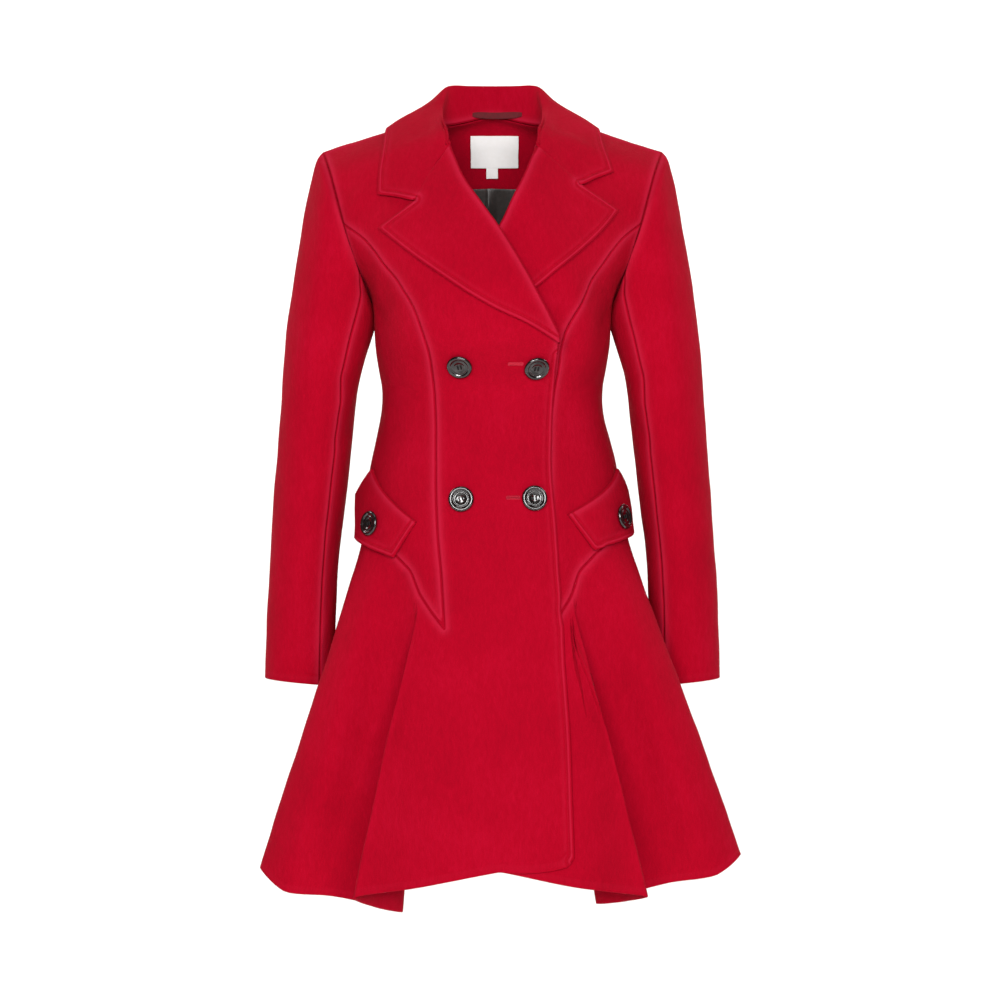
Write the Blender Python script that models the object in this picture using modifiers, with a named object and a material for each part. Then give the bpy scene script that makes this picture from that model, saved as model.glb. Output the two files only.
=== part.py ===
"""A double-breasted wool coat, worn shape with nobody in it.

Sizes are in millimetres. X runs across the coat, to the wearer's left, Y from front to
back, Z up. The origin lies between the shoulders, at the height of the neck points.
The body is one smooth surface, body(u, level), over rows of sections. Each panel is
cut out of it along its seams, and gets its thickness inwards.
"""

import math

import bpy
import numpy as np
from mathutils import Vector

MM = 0.001

CLOTH = 2.8  # felted coating
LINING = 1.2
SEAM_GAP = 0.3  # between two pieces that are sewn together
UNDERARM = -195.0
ARMHOLE_TOP = -24.0
PRINCESS_START = -112.0  # where the princess seams leave the armhole
JUNCTION = -567.0  # where princess seam and hip seam meet
HEM = -835.0
SEAM_TURN = 1.1  # how the shoulder line bends

# The body's sections, from the shoulder seam down. The edge is the armhole, and from
# the underarm down the side seam.
BODY_COLUMNS = (
    "edge_z", "edge_x", "front_edge_y", "back_edge_y", "front_z", "front_y",
    "back_z", "back_y", "square", "turn", "sway",
)
BODY = (
    (-24, 195, 3, 3, 34, 3, 34, 3, 2.0, 60, 0),
    (-45, 187, -29, 35, 6, -50, 27, 48, 2.0, 62, 0),
    (-80, 177, -50, 56, -42, -84, -8, 74, 2.0, 64, 0),
    (-120, 166, -57, 62, -98, -111, -62, 97, 2.1, 66, 0),
    (-160, 153, -46, 52, -152, -132, -128, 113, 2.2, 74, 0),
    (-195, 139, 0, 0, -195, -141, -192, 119, 2.4, 90, 0),
    (-245, 134.5, 0, 0, -245, -137, -245, 108, 2.4, 90, 0),
    (-308, 126.5, 0, 0, -308, -105, -308, 86, 2.3, 90, 0),
    (-385, 141.5, 0, 0, -385, -111, -385, 103, 2.3, 90, 1),
    (-482, 156, 0, 0, -482, -121, -482, 127, 2.3, 90, 3),
    (-567, 165, 0, 0, -567, -131, -567, 138, 2.3, 90, 5),
)

# The hip seam, from the princess seam round to the side seam: distance from the
# centre and height. The skirt hangs from it.
HIP_SEAM_FRONT = ((53, -567), (67, -549), (81, -528), (92, -503), (111, -483), (134, -458))
HIP_SEAM_BACK = ((53, -567), (70, -545), (86, -520), (100, -497), (118, -478), (138, -455))
HIP_SEAM_SIDE = -432.0

# The skirt's folds from centre front round to centre back: share of the half girth,
# place at half length, place at the hem, and the hem's height on the wearer's right
# and left.
FOLD_COLUMNS = ("share", "half_x", "half_y", "hem_x", "hem_y", "hem_right", "hem_left")
FOLDS = (
    (0.00, 0, -147, 0, -166, -831, -831),
    (0.16, 66, -151, 86, -178, -846, -847),
    (0.335, 122, -170, 158, -216, -853, -851),
    (0.36, 112, -148, 141, -166, -868, -862),
    (0.395, 97, -131, 111, -118, -881, -871),
    (0.48, 140, -118, 178, -108, -868, -854),
    (0.58, 185, -118, 240, -112, -860, -842),
    (0.70, 207, -84, 270, -82, -837, -822),
    (0.85, 182, -32, 236, -34, -836, -832),
    (1.00, 158, 8, 196, 10, -846, -842),
    (1.15, 178, 50, 226, 52, -840, -838),
    (1.30, 201, 98, 258, 106, -830, -826),
    (1.43, 150, 126, 196, 130, -852, -848),
    (1.56, 108, 134, 126, 124, -866, -862),
    (1.67, 104, 178, 122, 218, -852, -848),
    (1.85, 54, 162, 66, 192, -842, -842),
    (2.00, 0, 152, 0, 172, -838, -838),
)
CORNER_RISE = 24.0  # of the overlap's hem towards its corner
CORNER_SHARE = 0.157
HEM_SWAY = 9.0
HALF_SWAY = 7.0

# Seams down the body: height, distance from the centre on the wearer's right and left.
FRONT_PRINCESS = (
    (-128, 148, 149), (-143, 134, 136), (-163, 119, 122), (-184, 103, 109),
    (-208, 89, 99), (-236, 78, 89), (-262, 70, 81), (-290, 66, 74), (-318, 64, 69),
    (-348, 63, 66), (-378, 63, 65), (-408, 63, 65), (-440, 62, 64), (-471, 60, 62),
    (-503, 57, 59), (-535, 55, 56), (-567, 53, 53),
)
BACK_PRINCESS = (
    (-128, 146), (-143, 132), (-163, 115), (-184, 101), (-208, 90), (-236, 80),
    (-262, 73), (-290, 68), (-318, 66), (-348, 66), (-378, 66), (-408, 65),
    (-440, 63), (-471, 61), (-503, 58), (-535, 55), (-567, 53),
)
ARMHOLE_LEVELS = (-24, -33, -48, -68, -90, -112, -134, -155, -172, -186, -195)
SIDE_LEVELS = (
    -134, -155, -172, -186, -195, -214, -234, -254, -274, -294, -314, -334, -354,
    -374, -394, -413, -432,
)

# The front edges, from the hem up: height and distance past the centre. The right
# front lies on top.
OVERLAP_EDGE = (
    (-819, 93), (-769, 92), (-690, 89), (-607, 82), (-519, 76), (-445, 71),
    (-378, 66), (-309, 69), (-256, 74),
)
UNDERLAP_EDGE = (
    (-819, 44), (-769, 44), (-690, 44), (-607, 44), (-519, 46), (-445, 52),
    (-378, 57), (-309, 60), (-256, 64),
)
# The roll lines, from the break up to the collar: height and distance from the
# centre, over to the wearer's left.
ROLL_RIGHT = ((-242, 73), (-184, 43), (-121, 6), (-96, -11), (-64, -32), (-25, -47))
ROLL_LEFT = ((-242, -65), (-184, -38), (-115, 9), (-91, 21), (-67, 33), (-25, 49))
NECK_POINT = 68.0  # from the centre to the top of the shoulder seam
BACK_NECK = -46.0  # the back neck's row, down from the shoulder seam

# The lapels: height and distance towards the wearer's own side. The notch is the
# third point of the top.
LAPEL_TOP_RIGHT = ((-27.7, 47.2), (-58, 68), (-91.5, 85), (-121, 126))
LAPEL_EDGE_RIGHT = (
    (-121, 126), (-155, 85), (-178, 54), (-196, 27), (-214, -4), (-228, -35), (-250, -73),
)
LAPEL_TOP_LEFT = ((-28.5, 50), (-49, 73), (-72, 97), (-100, 140))
LAPEL_EDGE_LEFT = (
    (-100, 140), (-122, 123), (-148, 97), (-167, 75), (-189, 50), (-215, 15), (-248, -66),
)

UNDERLAP_SINK = 4.0  # how far the left front lies below the right one
LAPEL_SINK = 6.7  # more where its lapel lies between them


def rows_of(columns, table):
    """The table's columns as arrays, by name."""
    values = np.array(table, float)
    return {name: values[:, i] for i, name in enumerate(columns)}


def slopes(at, values, steepest):
    """Slopes of a smooth curve through the values, flat at each turning point of a step.
    Next to a flat step none is steeper than this many times that step."""
    steps = np.diff(at)
    rates = np.diff(values) / steps
    inner = (steps[1:] * rates[:-1] + steps[:-1] * rates[1:]) / (steps[1:] + steps[:-1])
    inner[rates[:-1] * rates[1:] <= 0] = 0.0
    most = steepest * np.minimum(abs(rates[:-1]), abs(rates[1:]))
    inner = np.clip(inner, -most, most)
    return np.concatenate([rates[:1], inner, rates[-1:]])


def smooth(at, values, where, steepest=1e9):
    """The value of a smooth curve through (at, values), where at rises."""
    k = int(np.clip(np.searchsorted(at, where) - 1, 0, len(at) - 2))
    slope = slopes(at, values, steepest)
    h = at[k + 1] - at[k]
    s = (where - at[k]) / h
    return (
        (2 * s**3 - 3 * s**2 + 1) * values[k]
        + (s**3 - 2 * s**2 + s) * h * slope[k]
        + (3 * s**2 - 2 * s**3) * values[k + 1]
        + (s**3 - s**2) * h * slope[k + 1]
    )


BODY_ROWS = rows_of(BODY_COLUMNS, BODY[::-1])
FOLD_ROWS = rows_of(FOLD_COLUMNS, FOLDS)
section_cache = {}


def section(level):
    """The body's section at this level, by column."""
    key = round(level, 4)
    if key not in section_cache:
        level = min(level, ARMHOLE_TOP)
        heights = BODY_ROWS["edge_z"]
        section_cache[key] = {
            name: smooth(heights, BODY_ROWS[name], level) for name in BODY_COLUMNS
        }
    return section_cache[key]


def around(angle, square):
    """(across, forward) of a squarish quarter turn."""
    c, s = math.cos(angle), math.sin(angle)
    reach = (abs(c) ** square + abs(s) ** square) ** (-1 / square)
    return s * reach, c * reach


def trunk(u, level, face=None):
    """A point of the body. u is 0 at centre front, 1 at the side and 2 at centre
    back, and is negative on the wearer's left."""
    row = section(level)
    share = abs(u)
    if share > 2:
        share = 4 - share
        u = -u
    if face is None:
        face = "front" if share <= 1 else "back"
    if face == "back":
        share = 2 - share
    turn = math.radians(row["turn"])
    across, forward = around(share * turn, row["square"])
    full_across, least_forward = around(turn, row["square"])
    across = across / full_across
    forward = (forward - least_forward) / (1 - least_forward)
    edge_y = row[face + "_edge_y"]
    side = -1 if u > 0 else 1
    return np.array([
        side * row["edge_x"] * across + row["sway"],
        edge_y + (row[face + "_y"] - edge_y) * forward,
        row["edge_z"] + (row[face + "_z"] - row["edge_z"]) * (1 - abs(across) ** SEAM_TURN),
    ])


def locate(x, z, face="front"):
    """(u, level) of the body's point with this x and z, seen from the front or back."""
    level = min(z, ARMHOLE_TOP)
    share = 0.5
    for _ in range(60):
        row = section(level)
        out = abs(x - row["sway"]) / row["edge_x"]
        low, high = 0.0, 1.0
        turn = math.radians(row["turn"])
        full = around(turn, row["square"])[0]
        for _ in range(24):
            share = (low + high) / 2
            if around(share * turn, row["square"])[0] / full < out:
                low = share
            else:
                high = share
        rise = (row[face + "_z"] - row["edge_z"]) * (1 - min(out, 1) ** SEAM_TURN)
        level += 0.6 * (z - (row["edge_z"] + rise))
        level = min(level, ARMHOLE_TOP)
    if face == "back":
        share = 2 - share
    return (share if x - section(level)["sway"] <= 0 else -share), level


def hip_line(seam, face):
    return [locate(-x, z, face) for x, z in seam]


HIP_POINTS = (
    [(0.0, JUNCTION)]
    + hip_line(HIP_SEAM_FRONT, "front")
    + [(1.0, HIP_SEAM_SIDE)]
    + hip_line(HIP_SEAM_BACK, "back")[::-1]
    + [(2.0, JUNCTION)]
)
HIP_SHARES = np.array([p[0] for p in HIP_POINTS])
HIP_LEVELS = np.array([p[1] for p in HIP_POINTS])
FRONT_JUNCTION = HIP_POINTS[1][0]
BACK_JUNCTION = HIP_POINTS[-2][0]


def hip_level(u):
    """Where the skirt starts, level on the front and back and along the hip seam."""
    share = abs(u)
    return float(np.interp(share if share <= 2 else 4 - share, HIP_SHARES, HIP_LEVELS))


def fold_ring(name):
    """Control points of the skirt's closed outline at "half" or "hem", with their u."""
    sway = HEM_SWAY if name == "hem" else HALF_SWAY
    right = [
        (u, -x + sway, y)
        for u, x, y in zip(FOLD_ROWS["share"], FOLD_ROWS[name + "_x"], FOLD_ROWS[name + "_y"])
    ]
    left = [(-u, 2 * sway - x, y) for u, x, y in right[1:-1]]
    ring = np.array(left[::-1] + right)
    before = ring[-3:].copy()
    before[:, 0] -= 4
    after = ring[:3].copy()
    after[:, 0] += 4
    return np.vstack([before, ring, after])


RINGS = {name: fold_ring(name) for name in ("half", "hem")}


def ring_point(name, u):
    """A point of the skirt's outline: a round curve through its control points."""
    ring = RINGS[name]
    k = int(np.clip(np.searchsorted(ring[:, 0], u) - 1, 1, len(ring) - 3))
    points = ring[k - 1 : k + 3, 1:]
    spans = np.linalg.norm(np.diff(points, axis=0), axis=1) ** 0.5
    s = (u - ring[k, 0]) / (ring[k + 1, 0] - ring[k, 0])
    rates = np.diff(points, axis=0) / spans[:, None]
    start = (spans[1] * rates[0] + spans[0] * rates[1]) / (spans[0] + spans[1])
    end = (spans[2] * rates[1] + spans[1] * rates[2]) / (spans[1] + spans[2])
    return (
        (2 * s**3 - 3 * s**2 + 1) * points[1]
        + (s**3 - 2 * s**2 + s) * spans[1] * start
        + (3 * s**2 - 2 * s**3) * points[2]
        + (s**3 - s**2) * spans[1] * end
    )


def hem_height(u):
    share = abs(u) if abs(u) <= 2 else 4 - abs(u)
    right = u > 0 if abs(u) <= 2 else u < 0
    heights = FOLD_ROWS["hem_right" if right else "hem_left"]
    return smooth(FOLD_ROWS["share"], heights, share, steepest=2.5)


def body(u, level, face=None):
    """A point of the coat's outer surface, from the shoulders down to the hem."""
    top = hip_level(u)
    if level >= top:
        return trunk(u, level, face)
    start = trunk(u, top)
    t = (top - level) / (top - HEM)
    half = np.append(ring_point("half", u), (start[2] + hem_height(u)) / 2)
    hem = np.append(ring_point("hem", u), hem_height(u))
    return (
        start * (1 - t) * (1 - 2 * t)
        + half * 4 * t * (1 - t)
        + hem * t * (2 * t - 1)
    )


def body_normal(u, level, face=None):
    """Outward normal of that surface. Front and back share it at the shoulder seam."""
    if level < ARMHOLE_TOP - 0.01 or face is None:
        return side_normal(u, level, face)
    share = math.copysign(1, u) * min(abs(u), 2 - abs(u))
    normal = side_normal(share, level, "front")
    normal = normal + side_normal(math.copysign(2, u) - share, level, "back")
    return normal / np.linalg.norm(normal)


def side_normal(u, level, face):
    """Outward normal of the front or the back by itself."""
    du, dv = 0.004, 1.0
    low, high = u - du, u + du
    if face is not None and level > UNDERARM - 1:
        if face == "front":
            low, high = max(low, -1.0), min(high, 1.0)
        elif u > 0:
            low = max(low, 1.0)
        else:
            high = min(high, -1.0)
    top = min(level + dv, ARMHOLE_TOP)
    if top > hip_level(u) > level - dv and level < hip_level(u) + 0.01:
        top = level
    across = body(high, level, face) - body(low, level, face)
    along = body(u, top, face) - body(u, level - dv, face)
    normal = np.cross(along, across)
    return normal / np.linalg.norm(normal)


# Where the columns of the skirt's grid run, as shares of the half girth.
FRONT_SHARES = (
    FRONT_JUNCTION, 0.265, 0.30, 0.32, 0.335, 0.348, 0.36, 0.377, 0.395, 0.43,
    0.48, 0.54, 0.60, 0.66, 0.71, 0.77, 0.85, 0.93, 1.0,
)
BACK_SHARES = (
    1.0, 1.07, 1.15, 1.22, 1.28, 1.33, 1.38, 1.44, 1.50, 1.55, 1.59, 1.62,
    1.645, 1.665, 1.68, 1.70, 1.72, 1.75, BACK_JUNCTION,
)
SKIRT_ROWS = 10
STRIP_COLUMNS = 6
SIDE_STEP = 3  # columns of the skirt to one of the side panel

coat = bpy.data.collections.new("coat")
materials = {}


def clear_scene():
    for obj in list(bpy.data.objects):
        bpy.data.objects.remove(obj, do_unlink=True)


def material(name, colour, roughness, metallic=0.0):
    """A plain material, made once for each name."""
    if name not in materials:
        made = bpy.data.materials.new(name)
        made.use_nodes = True
        shader = made.node_tree.nodes["Principled BSDF"]
        shader.inputs["Base Color"].default_value = (*colour, 1.0)
        shader.inputs["Roughness"].default_value = roughness
        shader.inputs["Metallic"].default_value = metallic
        materials[name] = made
    return materials[name]


def red_wool():
    return material("red wool coating", (0.45, 0.008, 0.014), 0.9)


def add_solid(name, points, faces, finish):
    """A mesh object from points in millimetres."""
    mesh = bpy.data.meshes.new(name)
    mesh.from_pydata([tuple(p * MM) for p in points], [], faces)
    mesh.materials.append(finish)
    mesh.validate()
    mesh.update()
    obj = bpy.data.objects.new(name, mesh)
    coat.objects.link(obj)
    return obj


def rim_of(faces):
    """The edges that only one face has, in that face's order."""
    used = {(f[i], f[(i + 1) % len(f)]) for f in faces for i in range(len(f))}
    return [(a, b) for a, b in used if (b, a) not in used]


def drawn_in(points, normals, rim, amount):
    """The points, with those on the rim moved inwards along the sheet."""
    moved = points.copy()
    inward = {}
    for a, b in rim:
        for end in (a, b):
            way = np.cross(normals[end], points[b] - points[a])
            inward.setdefault(end, []).append(way / np.linalg.norm(way))
    for end, ways in inward.items():
        total = sum(ways)
        both = 1 + float(np.dot(ways[0], ways[-1])) if len(ways) > 1 else 1
        moved[end] += amount * total / max(both, 0.5)
    return moved


def wall(name, outer, inner, faces, finish):
    """A closed solid between two sheets that share their faces."""
    count = len(outer)
    rim = rim_of(faces)
    solid = list(faces)
    solid += [tuple(i + count for i in reversed(f)) for f in faces]
    solid += [(b, a, a + count, b + count) for a, b in rim]
    return add_solid(name, np.vstack([outer, inner]), solid, finish)


def sheet_faces(grid_keys):
    """Faces between the rows of keys. A row can have a multiple of the last one's steps."""
    faces = []
    for low, high in zip(grid_keys, grid_keys[1:]):
        step_low = max(1, (len(low) - 1) // (len(high) - 1))
        step_high = max(1, (len(high) - 1) // (len(low) - 1))
        for j in range(min(len(low), len(high)) - 1):
            start = low[j * step_low : (j + 1) * step_low + 1]
            end = high[j * step_high : (j + 1) * step_high + 1]
            loop = []
            for key in list(start) + list(end)[::-1]:
                if key not in loop:
                    loop.append(key)
            if len(loop) > 2:
                faces.append(tuple(loop))
    return faces


def no_lift(point):
    return 0.0


def lifted(key, lift):
    """(point, normal) over the body at (u, level, face, rise)."""
    u, level, face, rise = key
    point = body(u, level, face)
    normal = body_normal(u, level, face)
    return point + normal * (rise + lift(point)), normal


def panel(name, patches, thickness, finish, lift=no_lift):
    """A cloth panel on the body's surface. Each patch is rows of (u, level, face), with
    a rise over the surface as a fourth value where the panel lies on another."""
    index = {}
    faces = []
    for patch in patches:
        rows = [[rounded(*key) for key in row] for row in patch]
        for loop in sheet_faces(rows):
            faces.append(tuple(index.setdefault(key, len(index)) for key in loop))
    pairs = [lifted(key, lift) for key in index]
    outer = np.array([p for p, _ in pairs])
    normals = np.array([n for _, n in pairs])
    return cloth(name, outer, normals, faces, thickness, finish)


def rounded(u, level, face, rise=0.0):
    return round(u, 5), round(level, 3), face, rise


def cloth(name, outer, normals, faces, thickness, finish):
    """A cloth wall of this thickness under a sheet of points with their normals."""
    middle = faces[len(faces) // 2]
    a, b, c = (outer[i] for i in middle[:3])
    if np.dot(np.cross(b - a, c - a), normals[middle[0]]) < 0:
        faces = [f[::-1] for f in faces]
    outer = drawn_in(outer, normals, rim_of(faces), SEAM_GAP / 2)
    return wall(name, outer, outer - normals * thickness, faces, finish)


def grid_normals(grid, outward):
    """Unit normals of a grid of points, on the side that outward points to."""
    along = np.gradient(grid, axis=0)
    across = np.gradient(grid, axis=1)
    normals = np.cross(along, across)
    normals /= np.linalg.norm(normals, axis=2, keepdims=True)
    middle = normals[grid.shape[0] // 2, grid.shape[1] // 2]
    return normals if np.dot(middle, outward) > 0 else -normals


def grid_cloth(name, grid, normals, thickness, finish):
    """A cloth wall under a grid of points."""
    rows, columns = grid.shape[:2]
    keys = np.arange(rows * columns).reshape(rows, columns)
    faces = sheet_faces([list(map(int, row)) for row in keys])
    return cloth(
        name, grid.reshape(-1, 3), normals.reshape(-1, 3), faces, thickness, finish
    )


def mix(a, b, share):
    return a + (b - a) * share


def strip(left, right, columns, face):
    """Rows of (u, level, face) between two paths of (u, level)."""
    return [
        [
            (mix(a[0], b[0], j / columns), mix(a[1], b[1], j / columns), face)
            for j in range(columns + 1)
        ]
        for a, b in zip(left, right)
    ]


def across_at(x, level):
    """u on the front where the body's x at this level is the one given."""
    low, high = -0.30, 0.30
    for _ in range(40):
        middle = (low + high) / 2
        if body(middle, level)[0] > x:
            low = middle
        else:
            high = middle
    return (low + high) / 2


def path_x(table, z, column=1):
    """Distance in a seam's table at height z."""
    rows = sorted(table)
    return smooth(
        np.array([r[0] for r in rows], float), np.array([r[column] for r in rows], float), z
    )


def skirt_patch(shares, side):
    face = "front" if shares[-1] <= 1 else "back"
    shares = shares if face == "front" else shares[::-1]
    rows = []
    for i in range(SKIRT_ROWS + 1):
        t = 1 - i / SKIRT_ROWS
        rows.append([
            (side * u, mix(hip_level(u), HEM, t), face) for u in shares
        ])
    return rows


SKIRT_LEVELS = [mix(HEM, JUNCTION, i / SKIRT_ROWS) for i in range(SKIRT_ROWS + 1)]
TRUNK_EDGE = (-535, -503, -471, -440, -408, -378, -348, -318, -290, -262)
ROLL_LEVELS = (-242, -212, -184, -158, -134, -112, -90, -68, -46, -25, -5)


def neck_share():
    low, high = 0.0, 1.0
    for _ in range(40):
        middle = (low + high) / 2
        if -trunk(middle, ARMHOLE_TOP)[0] < NECK_POINT:
            low = middle
        else:
            high = middle
    return low


NECK_SHARE = neck_share()


def front_edge_path(side):
    """(u, level) up the front edge, the roll line and the neck, from hem to shoulder."""
    edge = OVERLAP_EDGE if side > 0 else UNDERLAP_EDGE
    roll = ROLL_RIGHT if side > 0 else ROLL_LEFT
    path = []
    for level in SKIRT_LEVELS:
        path.append((across_at(side * path_x(edge, level), level), level))
    for z in TRUNK_EDGE:
        path.append(locate(side * path_x(edge, z), z))
    for z in ROLL_LEVELS:
        x = path_x(roll, z) if z <= -25 else side * -58
        path.append(locate(x, z))
    path.append((side * NECK_SHARE, ARMHOLE_TOP))
    return path


def princess_path(side, table, face):
    """(u, level) up the princess seam from the junction to the armhole."""
    column = 1 if side > 0 or face == "back" else 2
    path = []
    for row in reversed(table):
        path.append(locate(-side * row[column], row[0], face))
    junction = FRONT_JUNCTION if face == "front" else BACK_JUNCTION
    path[0] = (side * junction, JUNCTION)
    return path + [(side * 1.0, PRINCESS_START)]


def back_edge_path(side):
    """(u, level) up the centre back and along the neck to the shoulder seam."""
    levels = list(SKIRT_LEVELS) + list(TRUNK_EDGE)
    levels += [-236, -208, -184, -160, -136, -112, -90, -70]
    path = [(side * 2.0, level) for level in levels]
    for angle in (0, 30, 60):
        path.append(neck_curve(side, angle))
    return path + [neck_curve(side, 90)]


def neck_curve(side, degrees):
    """(u, level) on the back neck: 0 at the centre, 90 at the shoulder seam."""
    turn = math.radians(degrees)
    return (
        side * (2 - NECK_SHARE * math.sin(turn)),
        mix(ARMHOLE_TOP, BACK_NECK, math.cos(turn)),
    )


def armhole_above(side):
    return [(side * 1.0, v) for v in reversed(ARMHOLE_LEVELS) if v > PRINCESS_START]


def with_corner(key):
    """The right front's skirt drawn up where its hem rises to the overlap's corner."""
    u, level, face = key
    if level >= JUNCTION or u >= 0:
        return key
    rise = CORNER_RISE * (-u / CORNER_SHARE) ** 1.6
    return u, mix(level, level + rise, (JUNCTION - level) / (JUNCTION - HEM)), face


def main_panel(side, face, edge, princess, shares, name, lift):
    """A front or back, with the skirt's side cut in one with it."""
    junction = shares[0] if face == "front" else shares[-1]
    skirt_right = [(side * junction, level) for level in SKIRT_LEVELS]
    right = skirt_right + princess[1:] + armhole_above(side)
    rows = strip(edge, right, STRIP_COLUMNS, face)
    if name == "front_right":
        rows = [[with_corner(key) for key in row] for row in rows]
    panel(name, [rows, skirt_patch(shares, side)], CLOTH, red_wool(), lift)


def side_panel(side, face, princess, shares, name, lift):
    """The panel between princess seam and side seam, down to the hip seam."""
    left = princess[::-1]
    right = [(side * 1.0, PRINCESS_START)] + [(side * 1.0, v) for v in SIDE_LEVELS]
    inner_first = shares if face == "front" else shares[::-1]
    main = inner_first[::SIDE_STEP]
    spread = [(u - main[0]) / (main[-1] - main[0]) for u in main]
    rows = []
    for i, (a, b) in enumerate(zip(left, right)):
        rows.append([(mix(a[0], b[0], s), mix(a[1], b[1], s), face) for s in spread])
    rows[-1] = [(side * u, hip_level(u), face) for u in inner_first]
    for back_step in (1, 2, 3):
        row = rows[-1 - back_step]
        pull = (1 - back_step / 4) ** 1.5
        for j, u in enumerate(main):
            straight = mix(left[-1][1], right[-1][1], spread[j])
            bend = (hip_level(u) - straight) * pull
            row[j] = (row[j][0], row[j][1] + bend, face)
    panel(name, [rows], CLOTH, red_wool(), lift)


def ramp(value):
    value = min(max(value, 0.0), 1.0)
    return value * value * (3 - 2 * value)


def overlap_x(z):
    """x of the right front's edge, which lies on top, at height z."""
    return path_x(OVERLAP_EDGE, z) if z < -250 else path_x(ROLL_RIGHT, max(min(z, -25), -242))


def underlap_lift(point):
    """The left front dips under the right one, more where its lapel lies between."""
    x, _, z = point
    under = ramp(1 - (x - overlap_x(z) - 14) / 36)
    lapel = ramp((z + 285) / 30)
    return -(UNDERLAP_SINK + LAPEL_SINK * lapel) * under


def build_body():
    for side, word in ((1, "right"), (-1, "left")):
        front = princess_path(side, FRONT_PRINCESS, "front")
        back = princess_path(side, BACK_PRINCESS, "back")
        lift = no_lift if side > 0 else underlap_lift
        edge = front_edge_path(side)
        main_panel(side, "front", edge, front, FRONT_SHARES, f"front_{word}", lift)
        side_panel(side, "front", front, FRONT_SHARES, f"side_front_{word}", lift)
        edge = back_edge_path(side)
        main_panel(side, "back", edge, back, BACK_SHARES, f"back_{word}", no_lift)
        side_panel(side, "back", back, BACK_SHARES, f"side_back_{word}", no_lift)


# The sleeve's rings, from the armhole down: the outer and inner points as seen from
# the front, then the middle and half depth from front to back.
SLEEVE = (
    (201, -32, 141, -200, 3, 62),
    (208, -56, 139.8, -208, 3, 63),
    (214, -85, 138.8, -220, 2, 62),
    (221, -125, 141, -240, 1, 60),
    (228, -171, 147, -264, 0, 57),
    (235, -225, 153.5, -290, 0, 54),
    (240, -285, 158, -322, 2, 54),
    (244.5, -340, 162, -362, 4, 54),
    (248, -385, 166, -398, 6, 54),
    (251.5, -424, 170, -432, 7, 53),
    (255.5, -482, 176.5, -486, 8, 50),
    (259, -539, 180, -542, 8, 45.5),
    (261, -588, 181, -594, 8, 43),
    (262, -629, 182, -637, 8, 42),
)
SLEEVE_SQUARE = 2.15
FRONT_SLEEVE_SEAM = 7  # which of the armhole's levels the sleeve seams start from
BACK_SLEEVE_SEAM = 13


def armhole_loop(side):
    """(points, normals) round the armhole: down the front and up the back."""
    down = [(side * 1.0, v, "front") for v in ARMHOLE_LEVELS]
    up = [(side * 1.0, v, "back") for v in ARMHOLE_LEVELS[-2::-1]]
    keys = down + up
    points = np.array([body(*key) for key in keys])
    normals = np.array([body_normal(*key) for key in keys])
    return points, normals


def loop_angles(points):
    """Angle of each point round the sleeve: 0 on top, 180 under the arm."""
    steps = np.linalg.norm(np.diff(points, axis=0), axis=1)
    way = np.concatenate([[0], np.cumsum(steps)])
    under = len(ARMHOLE_LEVELS) - 1
    front = way[: under + 1] / way[under] * math.pi
    back = math.pi + (way[under + 1 :] - way[under]) / (way[-1] - way[under]) * math.pi
    return np.concatenate([front, back])


def sleeve_grid(side):
    """(points, normals) of a whole sleeve: a row for each ring."""
    loop, loop_normals = armhole_loop(side)
    rows = [loop]
    angles = loop_angles(loop)
    for outer_x, outer_z, inner_x, inner_z, middle_y, depth in SLEEVE:
        ring = []
        for angle in angles:
            c, s = math.cos(angle), math.sin(angle)
            reach = (abs(c) ** SLEEVE_SQUARE + abs(s) ** SLEEVE_SQUARE) ** (-1 / SLEEVE_SQUARE)
            share = (1 - c * reach) / 2
            ring.append([
                -side * mix(outer_x, inner_x, share),
                middle_y - depth * s * reach,
                mix(outer_z, inner_z, share),
            ])
        rows.append(np.array(ring))
    grid = np.array(rows)
    closed = np.concatenate([grid[:, -2:-1], grid, grid[:, 1:2]], axis=1)
    away = np.array([0.0, -1.0, 0.0])
    normals = grid_normals(closed, away)[:, 1:-1]
    quarter = len(ARMHOLE_LEVELS) // 2
    if normals[5, quarter][1] > 0:
        normals = -normals
    for j, body_side in enumerate(loop_normals):
        leaving = grid[1, j] - grid[0, j]
        valley = float(np.dot(leaving / np.linalg.norm(leaving), body_side))
        own = ramp((valley + 0.05) / 0.4)
        normal = normals[0, j] * own + body_side * (1 - own)
        normals[0, j] = normal / np.linalg.norm(normal)
        grid[0, j] += body_side * SEAM_GAP * 1.5 * own
    return grid, normals


def build_sleeves():
    for side, word in ((1, "right"), (-1, "left")):
        grid, normals = sleeve_grid(side)
        under = slice(FRONT_SLEEVE_SEAM, BACK_SLEEVE_SEAM + 1)
        grid_cloth(f"under_sleeve_{word}", grid[:, under], normals[:, under], CLOTH, red_wool())
        front, back = grid[:, : FRONT_SLEEVE_SEAM + 1], grid[:, BACK_SLEEVE_SEAM:-1]
        top = np.concatenate([back, front], axis=1)
        top_normals = np.concatenate(
            [normals[:, BACK_SLEEVE_SEAM:-1], normals[:, : FRONT_SLEEVE_SEAM + 1]], axis=1
        )
        grid_cloth(f"top_sleeve_{word}", top, top_normals, CLOTH, red_wool())


LAPEL_RISE = 2.8  # between the front and its lapel
LAPEL_SEAT = 2.8  # the same at the roll line
LAPEL_ROWS = 12
LAPEL_COLUMNS = 6


def along_path(table, share):
    """(x, z) at a share of the length of a path of (height, distance)."""
    points = np.array([(x, z) for z, x in table], float)
    steps = np.linalg.norm(np.diff(points, axis=0), axis=1)
    way = np.concatenate([[0], np.cumsum(steps)]) / steps.sum()
    return smooth(way, points[:, 0], share), smooth(way, points[:, 1], share)


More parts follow.
